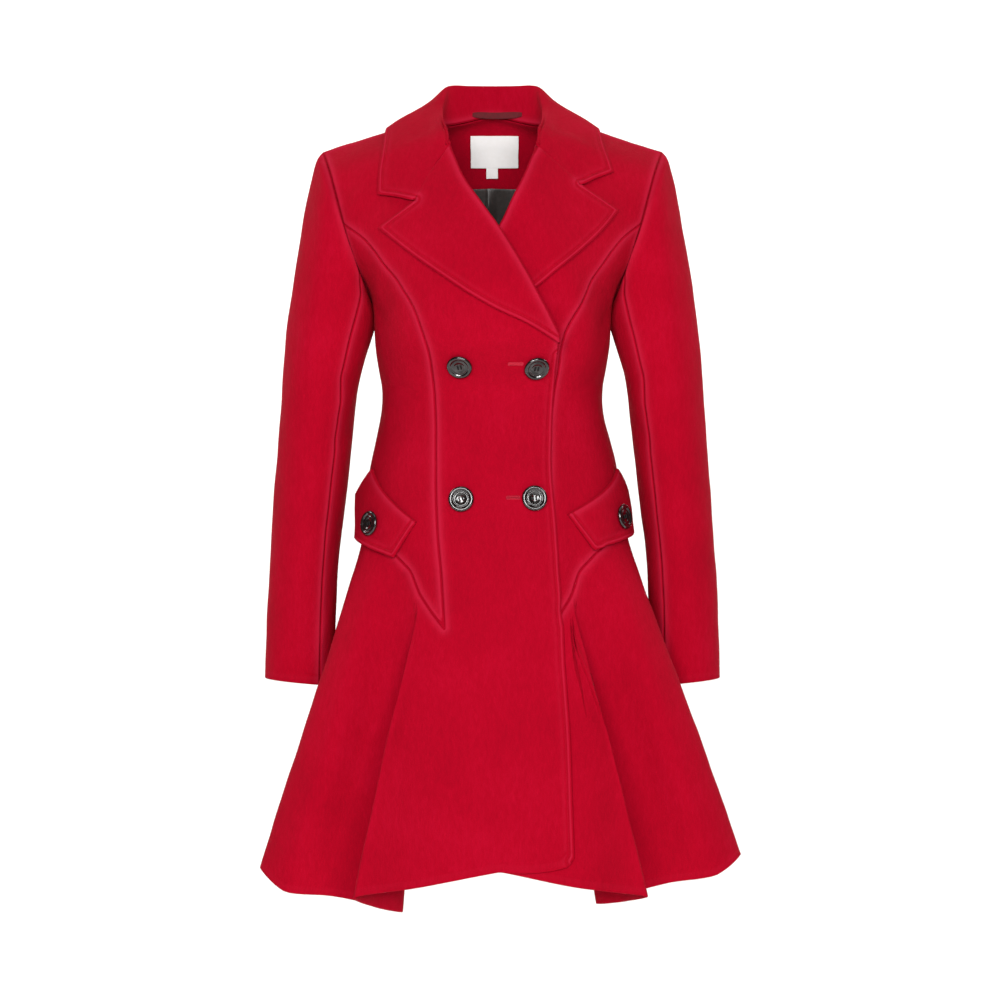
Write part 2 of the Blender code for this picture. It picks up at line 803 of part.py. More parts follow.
def straight_along(table, share):
    """(x, z) on straight runs between the points, each run with an equal share."""
    at = np.linspace(0, 1, len(table))
    return (
        np.interp(share, at, [x for z, x in table]),
        np.interp(share, at, [z for z, x in table]),
    )


def lapel(side, name, top, edge, roll, lift):
    """The turned-back lapel, from the collar seam down to the break."""
    rows = []
    own = [(x * side, z) for z, x in roll][::-1]
    for i in range(LAPEL_ROWS + 1):
        down = i / LAPEL_ROWS
        roll_x, roll_z = along_path([(z, x) for x, z in own], down)
        edge_x, edge_z = along_path([(z, -x) for z, x in edge], down)
        row = []
        for j in range(LAPEL_COLUMNS + 1):
            out = j / LAPEL_COLUMNS
            x, z = mix(roll_x, edge_x, out), mix(roll_z, edge_z, out)
            if i == 0:
                x, z = straight_along([(z, -x) for z, x in top], out)
            if i == LAPEL_ROWS:
                x, z = roll_x, roll_z
            rise = LAPEL_SEAT if j == 0 or i == LAPEL_ROWS else LAPEL_RISE
            u, level = locate(side * x, z)
            row.append((u, level, "front", rise + CLOTH))
        rows.append(row)
    panel(name, [rows], CLOTH, red_wool(), lift)


def build_lapels():
    lapel(1, "lapel_right", LAPEL_TOP_RIGHT, LAPEL_EDGE_RIGHT, ROLL_RIGHT, no_lift)
    lapel(-1, "lapel_left", LAPEL_TOP_LEFT, LAPEL_EDGE_LEFT, ROLL_LEFT, underlap_lift)


# The collar's stations from the lapel round to centre back: the top of the roll, then
# the leaf's edge as seen from the front (distance, height).
COLLAR_RIGHT = (
    ((47, -77, -24), (129, -75)),
    ((50.5, -68, -11), (127, -55)),
    ((55, -49, 4), (124, -33)),
    ((57, 0, 25), (121, -5)),
)
COLLAR_LEFT = (
    ((49, -77, -24), (135, -55)),
    ((51.5, -68, -11), (131, -42)),
    ((55.5, -49, 4), (126, -27)),
    ((57, 0, 25), (121, -5)),
)
COLLAR_BACK = (
    ((56, 20, 43), (117, -5)),
    ((50, 38, 57), (98, -9)),
    ((28, 46, 58.5), (56, -10)),
    ((0, 48, 58.5), (0, -10)),
)
COLLAR_END_RIGHT = ((-52, 66.2), (-89.5, 86.6), (-81, 110), (-75, 129))  # down the notch
COLLAR_END_LEFT = ((-45.4, 69.8), (-70, 98), (-63, 116), (-55, 135))
NECK_SPOTS = ((47.5, -27), (52, -18), (58, -5))  # the neck seam in front
NECK_ANGLES = (90, 74, 56, 30, 0)  # and at the back
FRONT_STATIONS = 3
SHOULDER_RISE = (1.8, 2.2)  # more room where the leaf crosses the shoulder seam
COLLAR_RISE = 2.2
COLLAR_BULGE = 5.0
ROLL_RADIUS = 4.4
STAND_GAP = 3.1  # between the stand and the back's raw edge
STEPS_PER_STATION = 2


def neck_spot(side, station):
    """The neck seam's point under a station of the collar."""
    if station < FRONT_STATIONS:
        x, z = NECK_SPOTS[station]
        u, level = locate(-side * x, z)
        return body(u, level, "front")
    u, level = neck_curve(side, NECK_ANGLES[station - FRONT_STATIONS])
    return body(u, level, "back")


def over_front(side, x, z, rise):
    u, level = locate(-side * x, z)
    return body(u, level, "front") + body_normal(u, level, "front") * (CLOTH + rise)


def leaf_in_front(side, station, top, spot):
    """Five points of the leaf where it lies on the front."""
    points = [over_front(side, mix(top[0], spot[0], 0.08), mix(top[2], spot[1], 0.08), 4.2)]
    for k in range(1, 5):
        x, z = mix(top[0], spot[0], k / 4), mix(top[2], spot[1], k / 4)
        if station == 0:
            z, x = (COLLAR_END_RIGHT if side > 0 else COLLAR_END_LEFT)[k - 1]
        points.append(over_front(side, x, z, COLLAR_RISE))
    return points


def leaf_behind(side, station, roll, spot):
    """Four points of the leaf where it spans from the roll to its edge."""
    face = "front" if station == FRONT_STATIONS else "back"
    u, level = locate(-side * spot[0], spot[1], face)
    near = station - FRONT_STATIONS
    rise = COLLAR_RISE + (SHOULDER_RISE[near] if near < len(SHOULDER_RISE) else 0)
    edge = body(u, level, face) + body_normal(u, level, face) * (CLOTH + rise)
    away = np.array([roll[0] / 60, max(roll[1], 0) / 60, 0.9])
    away /= np.linalg.norm(away)
    return [
        mix(roll, edge, k / 4) + away * COLLAR_BULGE * math.sin(math.pi * k / 4)
        for k in range(1, 5)
    ]


def collar_section(side, station):
    """Nine points across the collar, from the neck seam over the roll to the edge."""
    top, spot = ((COLLAR_RIGHT if side > 0 else COLLAR_LEFT) + COLLAR_BACK)[station]
    roll = np.array([-side * top[0], top[1], top[2]], float)
    seam = neck_spot(side, station)
    if station < FRONT_STATIONS:
        foot = seam + np.array([side * 5.0, 3.0, 1.0])
        return [foot, mix(foot, roll, 0.35), mix(foot, roll, 0.7), roll] + leaf_in_front(
            side, station, top, spot
        )
    leaf = leaf_behind(side, station, roll, spot)
    inward = -np.array([seam[0], seam[1] - 8.0, 0.0])
    foot = seam + inward / np.linalg.norm(inward) * (CLOTH + STAND_GAP)
    foot[2] -= 0.8
    stand = (foot - roll) / np.linalg.norm(foot - roll)
    fall = (leaf[0] - roll) / np.linalg.norm(leaf[0] - roll)
    down = (stand + fall) / np.linalg.norm(stand + fall)
    across = fall - down * np.dot(fall, down)
    across /= np.linalg.norm(across)
    inner = roll + (down * 0.8 - across) * ROLL_RADIUS
    outer = roll + (down * 0.8 + across) * ROLL_RADIUS
    return [foot, mix(foot, inner, 0.55), inner, roll, outer] + leaf


def build_collar():
    """The collar in one piece, over its stations from the right lapel to the left."""
    stations = [collar_section(1, k) for k in range(8)]
    stations += [collar_section(-1, k) for k in range(6, -1, -1)]
    sections = np.array(stations)
    at = np.arange(len(sections), dtype=float)
    columns = np.arange(0, len(sections) - 1 + 1e-6, 1 / STEPS_PER_STATION)
    grid = np.array([
        [
            [smooth(at, sections[:, k, axis], c) for axis in range(3)]
            for c in columns
        ]
        for k in range(sections.shape[1])
    ])
    backwards = np.array([0.0, 1.0, 0.5])
    normals = grid_normals(grid, backwards)
    if normals[-2, grid.shape[1] // 2][1] < 0:
        normals = -normals
    grid_cloth("collar", grid, normals, CLOTH, red_wool())


FACING = 1.6
FACING_SEAT = 2.7
FACING_ANGLES = (-90, -75, -60, -45, -30, -18, -9, -4, 0, 4, 9, 18, 30, 45, 60, 75, 90)
FACING_DEPTH = (0.0, 0.33, 0.67, 1.0)
FACING_SHARE = 0.53  # how far out along the shoulder seam it reaches
FACING_BOTTOM = -115.0
LINING_ANGLES = FACING_ANGLES[2:-2]
LINING_BOTTOM = -190.0
PLEAT = {-4: 1.2, 0: 4.5, 4: 1.2}  # depth of the lining's centre pleat, by angle


def facing_edge(degrees):
    """(u, level) along the bottom of the back neck facing."""
    turn = math.radians(degrees)
    return (
        2 - FACING_SHARE * math.sin(turn),
        mix(ARMHOLE_TOP, FACING_BOTTOM, math.cos(turn)),
    )


def build_facing():
    rows = []
    for depth in FACING_DEPTH:
        row = []
        for angle in FACING_ANGLES:
            top = neck_curve(1, angle)
            low = facing_edge(angle)
            key = (mix(top[0], low[0], depth), mix(top[1], low[1], depth))
            row.append((*key, "back", -CLOTH - FACING_SEAT))
        rows.append(row)
    panel("neck_facing", [rows], FACING, red_wool())


def build_lining():
    satin = material("dark satin lining", (0.012, 0.010, 0.011), 0.4)
    rows = []
    for depth in (0.0, 0.25, 0.5, 0.75, 1.0):
        row = []
        for angle in LINING_ANGLES:
            u, level = facing_edge(angle)
            rise = -CLOTH - FACING_SEAT - PLEAT.get(angle, 0) * min(depth * 4, 1)
            row.append((u, mix(level, LINING_BOTTOM, depth), "back", rise))
        rows.append(row)
    panel("lining", [rows], LINING, satin)


LABEL = (-27, 31.6, 5, -30, 6, 4)  # x from and to, z from and to, columns and rows
SIZE_TAB = (-7.8, 6.3, -30.6, -42, 2, 2)
LABEL_CLOTH = 1.0
LABEL_SEAT = 2.4
LOOP = (-23, 34)
LOOP_HEIGHTS = (20.5, 24, 27.6)
LOOP_BOW = 3.5
LOOP_CLOTH = 1.2
LOOP_SEAT = -0.1  # from the stand's foot line


def on_facing(name, extent, finish):
    """A small flat piece on the inside of the neck facing."""
    left, right, top, bottom, columns, count = extent
    rise = -CLOTH - FACING_SEAT - FACING - LABEL_SEAT
    rows = []
    for i in range(count + 1):
        row = []
        for j in range(columns + 1):
            u, level = locate(mix(left, right, j / columns), mix(top, bottom, i / count), "back")
            row.append((u if u > 0 else u + 4, level, "back", rise))
        rows.append(row)
    panel(name, [rows], LABEL_CLOTH, finish)


def build_loop():
    """The hanger loop, a flat strap along the stand's foot."""
    feet = [collar_section(1, k)[0] for k in (5, 6, 7)]
    feet += [collar_section(-1, k)[0] for k in (6, 5)]
    feet = np.array(feet)
    columns = []
    for j in range(9):
        x = mix(LOOP[0], LOOP[1], j / 8)
        y = np.interp(x, feet[:, 0], feet[:, 1]) - LOOP_SEAT
        y -= LOOP_BOW * math.sin(math.pi * j / 8)
        columns.append([[x, y, z] for z in LOOP_HEIGHTS])
    grid = np.array(columns)
    forward = np.array([0.0, -1.0, 0.0])
    normals = grid_normals(grid, forward)
    finish = material("black tape", (0.015, 0.014, 0.015), 0.6)
    grid_cloth("hanger_loop", grid + normals * LOOP_CLOTH, normals, LOOP_CLOTH, finish)


# The pocket flaps: ends of the seam, then the lower edge from the outer corner over the
# point to the inner corner, as x and z from the front with the height off the coat.
FLAP = 3.6
FLAP_GAP = 0.6
FLAP_RIGHT = (((-134, -389), (-83.5, -449)), ((-145, -419, 10), (-148, -470, 6), (-108, -490, 2.6)))
FLAP_LEFT = (((144, -385), (84.5, -440)), ((152, -412, 10), (156, -462, 6), (112, -481, 2.6)))
FLAP_ROWS = 5
FLAP_COLUMNS = 8


def spot(x, z, share):
    """(u, level) where the surface has this x and z, near a share of the half girth."""
    u, level = share if x < 0 else -share, float(z)
    for _ in range(30):
        at = body(u, level, "front")
        across = (body(u + 0.004, level, "front") - at) / 0.004
        along = (body(u, level - 0.5, "front") - at) / -0.5
        slope = np.array([[across[0], along[0]], [across[2], along[2]]])
        step = np.linalg.solve(slope, np.array([x - at[0], z - at[2]]))
        u += float(np.clip(step[0], -0.05, 0.05))
        level += float(np.clip(step[1], -20, 20))
    return u, level


def flap_key(table, along, down):
    """(u, level, face, rise) of the flap's outside at shares along and down it."""
    seam, edge = table
    top = np.array([(*spot(x, z, 0.6), FLAP_GAP) for x, z in seam])
    low = np.array([(*spot(x, z, 0.7), rise) for x, z, rise in edge])
    start = mix(top[0], top[1], along)
    end = [np.interp(along, (0, 0.5, 1), low[:, k]) for k in range(3)]
    u, level, rise = (float(v) for v in mix(start, np.array(end), down))
    return u, level, "front", FLAP + rise


def flap(name, table, lift):
    rows = [
        [flap_key(table, j / FLAP_COLUMNS, i / FLAP_ROWS) for j in range(FLAP_COLUMNS + 1)]
        for i in range(FLAP_ROWS + 1)
    ]
    panel(name, [rows], FLAP, red_wool(), lift)


def build_flaps():
    flap("pocket_flap_right", FLAP_RIGHT, no_lift)
    flap("pocket_flap_left", FLAP_LEFT, underlap_lift)


BUTTON_PROFILE = (  # distance from the middle and height
    (0.0, 0.0), (10.5, 0.0), (13.6, 1.2), (14.3, 2.6), (13.4, 4.3), (11.6, 4.5),
    (9.8, 3.4), (5.0, 2.5), (0.0, 2.4),
)
BUTTON_STEPS = 20
HOLE_RADIUS = 1.2
HOLE_PLACE = 2.4
BUTTON_GAP = 0.7
FRONT_BUTTONS = (
    ("button_upper_right", -36.1, -275.8), ("button_upper_left", 48.9, -277.3),
    ("button_lower_right", -34.3, -423.6), ("button_lower_left", 46.6, -422.6),
)
FLAP_BUTTON_PLACE = (0.6, 0.55)  # along and down the flap
FLAP_BUTTON_SEAT = 0.8


def button_mesh():
    """One button, turned from its profile, with four holes cut through."""
    cutters = bpy.data.collections.new("cutters")
    bpy.context.scene.collection.children.link(cutters)
    profile = bpy.data.meshes.new("button profile")
    points = [(r * MM, 0, h * MM) for r, h in BUTTON_PROFILE]
    profile.from_pydata(points, [(i, i + 1) for i in range(len(points) - 1)], [])
    turned = bpy.data.objects.new("button blank", profile)
    cutters.objects.link(turned)
    screw = turned.modifiers.new("turn", "SCREW")
    screw.steps = screw.render_steps = BUTTON_STEPS
    screw.use_merge_vertices = True
    screw.merge_threshold = 0.00001
    screw.use_normal_calculate = True
    turned.hide_render = True
    for k in range(4):
        turn = math.radians(45 + 90 * k)
        bpy.ops.mesh.primitive_cylinder_add(
            vertices=8,
            radius=HOLE_RADIUS * MM,
            depth=12 * MM,
            location=(HOLE_PLACE * MM * math.cos(turn), HOLE_PLACE * MM * math.sin(turn), 2 * MM),
        )
        pin = bpy.context.object
        pin.name = f"button hole {k + 1}"
        for owner in list(pin.users_collection):
            owner.objects.unlink(pin)
        cutters.objects.link(pin)
        pin.hide_render = True
        pin.display_type = "WIRE"
        cut = turned.modifiers.new(pin.name, "BOOLEAN")
        cut.operation = "DIFFERENCE"
        cut.solver = "EXACT"
        cut.object = pin
    bpy.context.view_layer.update()
    graph = bpy.context.evaluated_depsgraph_get()
    made = bpy.data.meshes.new_from_object(turned.evaluated_get(graph))
    made.name = "button"
    bpy.data.objects.remove(turned, do_unlink=True)
    made.materials.clear()
    made.materials.append(material("dark horn button", (0.02, 0.008, 0.007), 0.2))
    return made


def add_button(name, mesh, point, normal):
    obj = bpy.data.objects.new(name, mesh.copy())
    place = Vector(normal).to_track_quat("Z", "Y").to_matrix().to_4x4()
    place.translation = Vector((point + normal * BUTTON_GAP) * MM)
    obj.matrix_world = place
    coat.objects.link(obj)


def build_buttons():
    mesh = button_mesh()
    for name, x, z in FRONT_BUTTONS:
        u, level = spot(x, z, abs(x) / 200)
        add_button(name, mesh, body(u, level, "front"), body_normal(u, level, "front"))
    along, down = FLAP_BUTTON_PLACE
    step = 0.12
    for word, table, lift in (("right", FLAP_RIGHT, no_lift), ("left", FLAP_LEFT, underlap_lift)):
        point, normal = lifted(flap_key(table, along, down), lift)
        ends = [lifted(flap_key(table, along + move, down), lift)[0] for move in (-step, step)]
        below = lifted(flap_key(table, along, down + step), lift)[0] - point
        across = ends[1] - ends[0]
        face = np.cross(across, below)
        face *= math.copysign(1, np.dot(face, normal)) / np.linalg.norm(face)
        add_button(f"button_flap_{word}", mesh, point + face * FLAP_BUTTON_SEAT, face)


def main():
    clear_scene()
    bpy.context.scene.collection.children.link(coat)
    build_body()
    build_sleeves()
    build_lapels()
    build_collar()
    build_facing()
    build_lining()
    on_facing("label", LABEL, material("white label", (0.80, 0.79, 0.76), 0.7))
    on_facing("size_tab", SIZE_TAB, material("white label", (0.80, 0.79, 0.76), 0.7))
    build_loop()
    build_flaps()
    build_buttons()


main()
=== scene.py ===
"""The looks of the double-breasted coat, on its packed panels.

Sizes are in millimetres until a mesh is made. X runs to the wearer's left, Y from front to
back, Z up. The cloth lies on the same smooth body as the panels: body(u, level, back),
where u is 0 at centre front, 1 at the side and 2 at centre back, and minus on the left.
"""

import math

import bpy
import numpy as np
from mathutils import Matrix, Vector
from mathutils.kdtree import KDTree


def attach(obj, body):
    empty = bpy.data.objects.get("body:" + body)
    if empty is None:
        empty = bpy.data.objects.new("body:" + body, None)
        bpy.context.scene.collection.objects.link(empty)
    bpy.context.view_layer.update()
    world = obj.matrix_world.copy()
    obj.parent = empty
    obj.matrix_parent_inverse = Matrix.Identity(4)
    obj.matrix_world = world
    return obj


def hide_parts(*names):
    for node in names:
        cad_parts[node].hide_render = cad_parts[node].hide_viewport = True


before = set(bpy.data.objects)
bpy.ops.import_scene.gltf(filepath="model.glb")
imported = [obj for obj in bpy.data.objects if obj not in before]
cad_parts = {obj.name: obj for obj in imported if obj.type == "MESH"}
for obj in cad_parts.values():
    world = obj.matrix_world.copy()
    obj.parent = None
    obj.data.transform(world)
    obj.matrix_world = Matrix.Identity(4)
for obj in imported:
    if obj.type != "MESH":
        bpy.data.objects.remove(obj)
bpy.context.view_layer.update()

MM = 0.001

# ---------------- the coat's own sizes

CLOTH = 2.8  # felted coating
LINING = 1.2
SEAM_GAP = 0.3
UNDERARM = -195.0
ARMHOLE_TOP = -24.0
PRINCESS_START = -112.0
JUNCTION = -567.0  # where princess seam and hip seam meet
HEM = -835.0
SEAM_TURN = 1.1
BACK_BEND = 0.13  # softness of the shoulder's bend on the back, full this far
BACK_BEND_DROP = 40.0  # below the shoulder

BODY_COLUMNS = (
    "edge_z", "edge_x", "front_edge_y", "back_edge_y", "front_z", "front_y",
    "back_z", "back_y", "square", "turn", "sway",
)
BODY = (
    (-24, 195, 3, 3, 34, 3, 34, 3, 2.0, 60, 0),
    (-45, 187, -29, 35, 6, -50, 27, 48, 2.0, 62, 0),
    (-80, 177, -50, 56, -42, -84, -8, 74, 2.0, 64, 0),
    (-120, 166, -57, 62, -98, -111, -62, 97, 2.1, 66, 0),
    (-160, 153, -46, 52, -152, -132, -128, 113, 2.2, 74, 0),
    (-195, 139, 0, 0, -195, -141, -192, 119, 2.4, 90, 0),
    (-245, 134.5, 0, 0, -245, -137, -245, 108, 2.4, 90, 0),
    (-308, 126.5, 0, 0, -308, -105, -308, 86, 2.3, 90, 0),
    (-385, 141.5, 0, 0, -385, -111, -385, 103, 2.3, 90, 1),
    (-482, 156, 0, 0, -482, -121, -482, 127, 2.3, 90, 3),
    (-567, 165, 0, 0, -567, -131, -567, 138, 2.3, 90, 5),
)
HIP_SEAM_FRONT = ((53, -567), (67, -549), (81, -528), (92, -503), (111, -483), (134, -458))
HIP_SEAM_BACK = ((53, -567), (70, -545), (86, -520), (100, -497), (118, -478), (138, -455))
HIP_SEAM_SIDE = -432.0

FOLD_COLUMNS = ("share", "half_x", "half_y", "hem_x", "hem_y", "hem_right", "hem_left")
FOLDS = (
    (0.00, 0, -147, 0, -166, -831, -831),
    (0.16, 66, -151, 86, -178, -846, -847),
    (0.335, 122, -170, 158, -216, -853, -851),
    (0.36, 112, -148, 141, -166, -868, -862),
    (0.395, 97, -131, 111, -118, -881, -871),
    (0.48, 140, -118, 178, -108, -868, -854),
    (0.58, 185, -118, 240, -112, -860, -842),
    (0.70, 207, -84, 270, -82, -837, -822),
    (0.85, 182, -32, 236, -34, -836, -832),
    (1.00, 158, 8, 196, 10, -846, -842),
    (1.15, 178, 50, 226, 52, -840, -838),
    (1.30, 201, 98, 258, 106, -830, -826),
    (1.43, 150, 126, 196, 130, -852, -848),
    (1.56, 108, 134, 126, 124, -866, -862),
    (1.67, 104, 178, 122, 218, -852, -848),
    (1.85, 54, 162, 66, 192, -842, -842),
    (2.00, 0, 152, 0, 172, -838, -838),
)
CORNER_RISE = 24.0  # of the overlap's hem towards its corner
CORNER_SHARE = 0.157
CORNER_RADIUS = 10.0
CORNER_POWER = 1.6
HEM_STEEPEST = 2.5
HEM_SWAY = 9.0
HALF_SWAY = 7.0

PRINCESS = (  # height, and distance to the side: right front, left front, back
    (-128, 148, 149, 146), (-143, 134, 136, 132), (-163, 119, 122, 115),
    (-184, 103, 109, 101), (-208, 89, 99, 90), (-236, 78, 89, 80), (-262, 70, 81, 73),
    (-290, 66, 74, 68), (-318, 64, 69, 66), (-348, 63, 66, 66), (-378, 63, 65, 66),
    (-408, 63, 65, 65), (-440, 62, 64, 63), (-471, 60, 62, 61), (-503, 57, 59, 58),
    (-535, 55, 56, 55), (-567, 53, 53, 53),
)
ARMHOLE_LEVELS = (-24, -33, -48, -68, -90, -112, -134, -155, -172, -186, -195)
SIDE_LEVELS = (
    -134, -155, -172, -186, -195, -214, -234, -254, -274, -294, -314, -334, -354,
    -374, -394, -413, -432,
)
FRONT_EDGES = (  # height, and how far the overlap and the underlap reach past x = 0
    (-819, 93, 44), (-769, 92, 44), (-690, 89, 44), (-607, 82, 44), (-519, 76, 46),
    (-445, 71, 52), (-378, 66, 57), (-309, 69, 60), (-256, 74, 64),
)
EDGE_TOP = -250.0  # the front edge turns over into the lapel here
ROLL_RIGHT = ((-242, 73), (-184, 43), (-121, 6), (-96, -11), (-64, -32), (-25, -47))
ROLL_LEFT = ((-242, -65), (-184, -38), (-115, 9), (-91, 21), (-67, 33), (-25, 49))
NECK_POINT = 68.0
BACK_NECK = -46.0

LAPEL_TOP_RIGHT = ((-27.7, 47.2), (-58, 68), (-91.5, 85), (-121, 126))
LAPEL_EDGE_RIGHT = (
    (-121, 126), (-155, 85), (-178, 54), (-196, 27), (-214, -4), (-228, -35), (-250, -73),
)
LAPEL_TOP_LEFT = ((-28.5, 50), (-49, 73), (-72, 97), (-100, 140))
LAPEL_EDGE_LEFT = (
    (-100, 140), (-122, 123), (-148, 97), (-167, 75), (-189, 50), (-215, 15), (-248, -66),
)
LAPEL_RISE = 2.8

UNDERLAP_SINK = 4.0
UNDERLAP_PAST = 14.0  # the dip is full to this far past the overlap's edge, and gone
UNDERLAP_RUN = 36.0  # this much further on
LAPEL_SINK = 6.7
LAPEL_SINK_START = -285.0  # the dip under the lapel grows from this height up
LAPEL_SINK_RUN = 30.0


def columns_of(names, table):
    """The table's columns as arrays, by name."""
    values = np.array(table, float)
    return {name: values[:, i] for i, name in enumerate(names)}


BODY_ROWS = columns_of(BODY_COLUMNS, BODY[::-1])
FOLD_ROWS = columns_of(FOLD_COLUMNS, FOLDS)

# ---------------- curves


def mix(a, b, share):
    return a + (b - a) * share


def ramp(value):
    value = np.clip(value, 0.0, 1.0)
    return value * value * (3 - 2 * value)


def unit(vectors):
    return vectors / np.linalg.norm(vectors, axis=-1, keepdims=True)


def distance_along(points, axis=0):
    """Each point's distance from the first, along the path."""
    way = np.cumsum(np.linalg.norm(np.diff(points, axis=axis), axis=-1), axis=axis)
    return np.concatenate([np.zeros_like(np.take(way, [0], axis=axis)), way], axis=axis)


def circle(sides):
    """Angles of the corners of a ring."""
    return np.radians(np.arange(sides) * 360 / sides)


def bisect(low, high, rounds, below):
    """Closes in on the place up to which below(place) holds."""
    for _ in range(rounds):
        middle = (low + high) / 2
        inside = below(middle)
        low = np.where(inside, middle, low)
        high = np.where(inside, high, middle)
    return middle


def cubic(s, start, start_slope, end, end_slope):
    """A curve from start to end, at share s of the way."""
    return (
        (2 * s**3 - 3 * s**2 + 1) * start
        + (s**3 - 2 * s**2 + s) * start_slope
        + (3 * s**2 - 2 * s**3) * end
        + (s**3 - s**2) * end_slope
    )


def slopes(at, values, steepest):
    """Slopes of a smooth curve through the values, flat at each turning point. None is
    steeper than this many times the flatter step beside it."""
    steps = np.diff(at).reshape((-1,) + (1,) * (values.ndim - 1))
    rates = np.diff(values, axis=0) / steps
    inner = (steps[1:] * rates[:-1] + steps[:-1] * rates[1:]) / (steps[1:] + steps[:-1])
    inner[rates[:-1] * rates[1:] <= 0] = 0.0
    most = steepest * np.minimum(np.abs(rates[:-1]), np.abs(rates[1:]))
    return np.concatenate([rates[:1], np.clip(inner, -most, most), rates[-1:]])


def smooth(at, values, where, steepest=1e9):
    """Values of a smooth curve through (at, values), where at rises."""
    at, values, where = (np.asarray(v, float) for v in (at, values, where))
    k = np.clip(np.searchsorted(at, where) - 1, 0, len(at) - 2)
    slope = slopes(at, values, steepest)
    shape = where.shape + (1,) * (values.ndim - 1)
    h = (at[k + 1] - at[k]).reshape(shape)
    s = (where - at[k]).reshape(shape) / h
    return cubic(s, values[k], h * slope[k], values[k + 1], h * slope[k + 1])


def finer(values, steps, corners=()):
    """More points on a smooth curve through the rows of values, sharp at the corners."""
    values = np.asarray(values, float)
    stops = [0, *corners, len(values) - 1]
    parts = [values[:1]]
    for start, end in zip(stops, stops[1:]):
        where = np.linspace(0, end - start, (end - start) * steps + 1)[1:]
        piece = values[start : end + 1]
        parts.append(smooth(np.arange(len(piece)), piece, where))
    return np.concatenate(parts)


def path_x(table, z, column=1):
    """Distance in a seam's table at height z."""
    rows = np.array(sorted(table), float)
    return smooth(rows[:, 0], rows[:, column], z)


# ---------------- the body's surface

FINE_ROUNDS = 40
SHARE_ROUNDS = 18
LEVEL_PULL = 0.6  # share of the error in height that each round takes away


def section(level):
    """The sizes of the bodice's outline at these levels."""
    level = np.minimum(level, ARMHOLE_TOP)
    return {
        name: smooth(BODY_ROWS["edge_z"], BODY_ROWS[name], level) for name in BODY_COLUMNS
    }


def around(angle, square):
    """(across, forward) of a squarish quarter turn."""
    c, s = np.cos(angle), np.sin(angle)
    reach = (np.abs(c) ** square + np.abs(s) ** square) ** (-1 / square)
    return s * reach, c * reach


def seam_bend(across, level, back):
    """How far a row has come down between the centre and the armhole, from 0 to 1. It
    bends sharply at the shoulder seam's height, and softly below it on the back."""
    soft = np.where(back, BACK_BEND * ramp((ARMHOLE_TOP - level) / BACK_BEND_DROP), 0.0) ** 2
    least = soft ** (SEAM_TURN / 2)
    most = (1 + soft) ** (SEAM_TURN / 2) - least
    return ((across**2 + soft) ** (SEAM_TURN / 2) - least) / most


def half_girth(u):
    """(side, share) of u: -1 on the wearer's right, and 0 at centre front to 2 behind."""
    over = np.abs(u) > 2
    side = np.where((u > 0) != over, -1.0, 1.0)
    return side, np.where(over, 4 - np.abs(u), np.abs(u))


def trunk(u, level, back):
    """Points of the bodice, above the hip seam."""
    row = section(level)
    side, share = half_girth(u)
    share = np.where(back, 2 - share, share)
    turn = np.radians(row["turn"])
    across, forward = around(share * turn, row["square"])
    full_across, least_forward = around(turn, row["square"])
    across = across / full_across
    forward = (forward - least_forward) / (1 - least_forward)
    edge_y = np.where(back, row["back_edge_y"], row["front_edge_y"])
    far_y = np.where(back, row["back_y"], row["front_y"])
    far_z = np.where(back, row["back_z"], row["front_z"])
    return np.stack([
        side * row["edge_x"] * across + row["sway"],
        edge_y + (far_y - edge_y) * forward,
        row["edge_z"] + (far_z - row["edge_z"]) * (1 - seam_bend(across, level, back)),
    ], axis=-1)


def locate(x, z, back=False):
    """(u, level) of the bodice's points with this x and z, seen from the front or back."""
    x, z = np.broadcast_arrays(np.asarray(x, float), np.asarray(z, float))
    level = np.minimum(z, ARMHOLE_TOP)
    for _ in range(FINE_ROUNDS):
        row = section(level)
        out = np.abs(x - row["sway"]) / row["edge_x"]
        turn = np.radians(row["turn"])
        full = around(turn, row["square"])[0]
        share = bisect(
            np.zeros(x.shape), np.ones(x.shape), SHARE_ROUNDS,
            lambda part: around(part * turn, row["square"])[0] / full < out,
        )
        far_z = row["back_z"] if back else row["front_z"]
        rise = (far_z - row["edge_z"]) * (1 - seam_bend(np.minimum(out, 1), level, back))
        level = np.minimum(level + LEVEL_PULL * (z - (row["edge_z"] + rise)), ARMHOLE_TOP)
    if back:
        share = 2 - share
    return np.where(x - section(level)["sway"] <= 0, share, -share), level


def hip_points():
    """(shares, levels) of the hip seam, from centre front round to centre back."""
    front, back = (np.array(seam, float).T for seam in (HIP_SEAM_FRONT, HIP_SEAM_BACK))
    front = locate(-front[0], front[1])
    back = locate(-back[0], back[1], True)
    shares = [[0.0], front[0], [1.0], back[0][::-1], [2.0]]
    levels = [[JUNCTION], front[1], [HIP_SEAM_SIDE], back[1][::-1], [JUNCTION]]
    return np.concatenate(shares), np.concatenate(levels)


HIP_SHARES, HIP_LEVELS = hip_points()
FRONT_JUNCTION, BACK_JUNCTION = HIP_SHARES[1], HIP_SHARES[-2]


def hip_level(u):
    return np.interp(half_girth(u)[1], HIP_SHARES, HIP_LEVELS)


def fold_ring(name):
    """Control points of the skirt's closed outline at "half" or "hem", with their u."""
    sway = HEM_SWAY if name == "hem" else HALF_SWAY
    share, x, y = (FOLD_ROWS[key] for key in ("share", name + "_x", name + "_y"))
    right = np.stack([share, sway - x, y], axis=1)
    left = np.stack([-share, sway + x, y], axis=1)[1:-1][::-1]
    ring = np.concatenate([left, right])
    turn = np.array([4.0, 0, 0])
    return np.concatenate([ring[-3:] - turn, ring, ring[:3] + turn])


RINGS = {name: fold_ring(name) for name in ("half", "hem")}


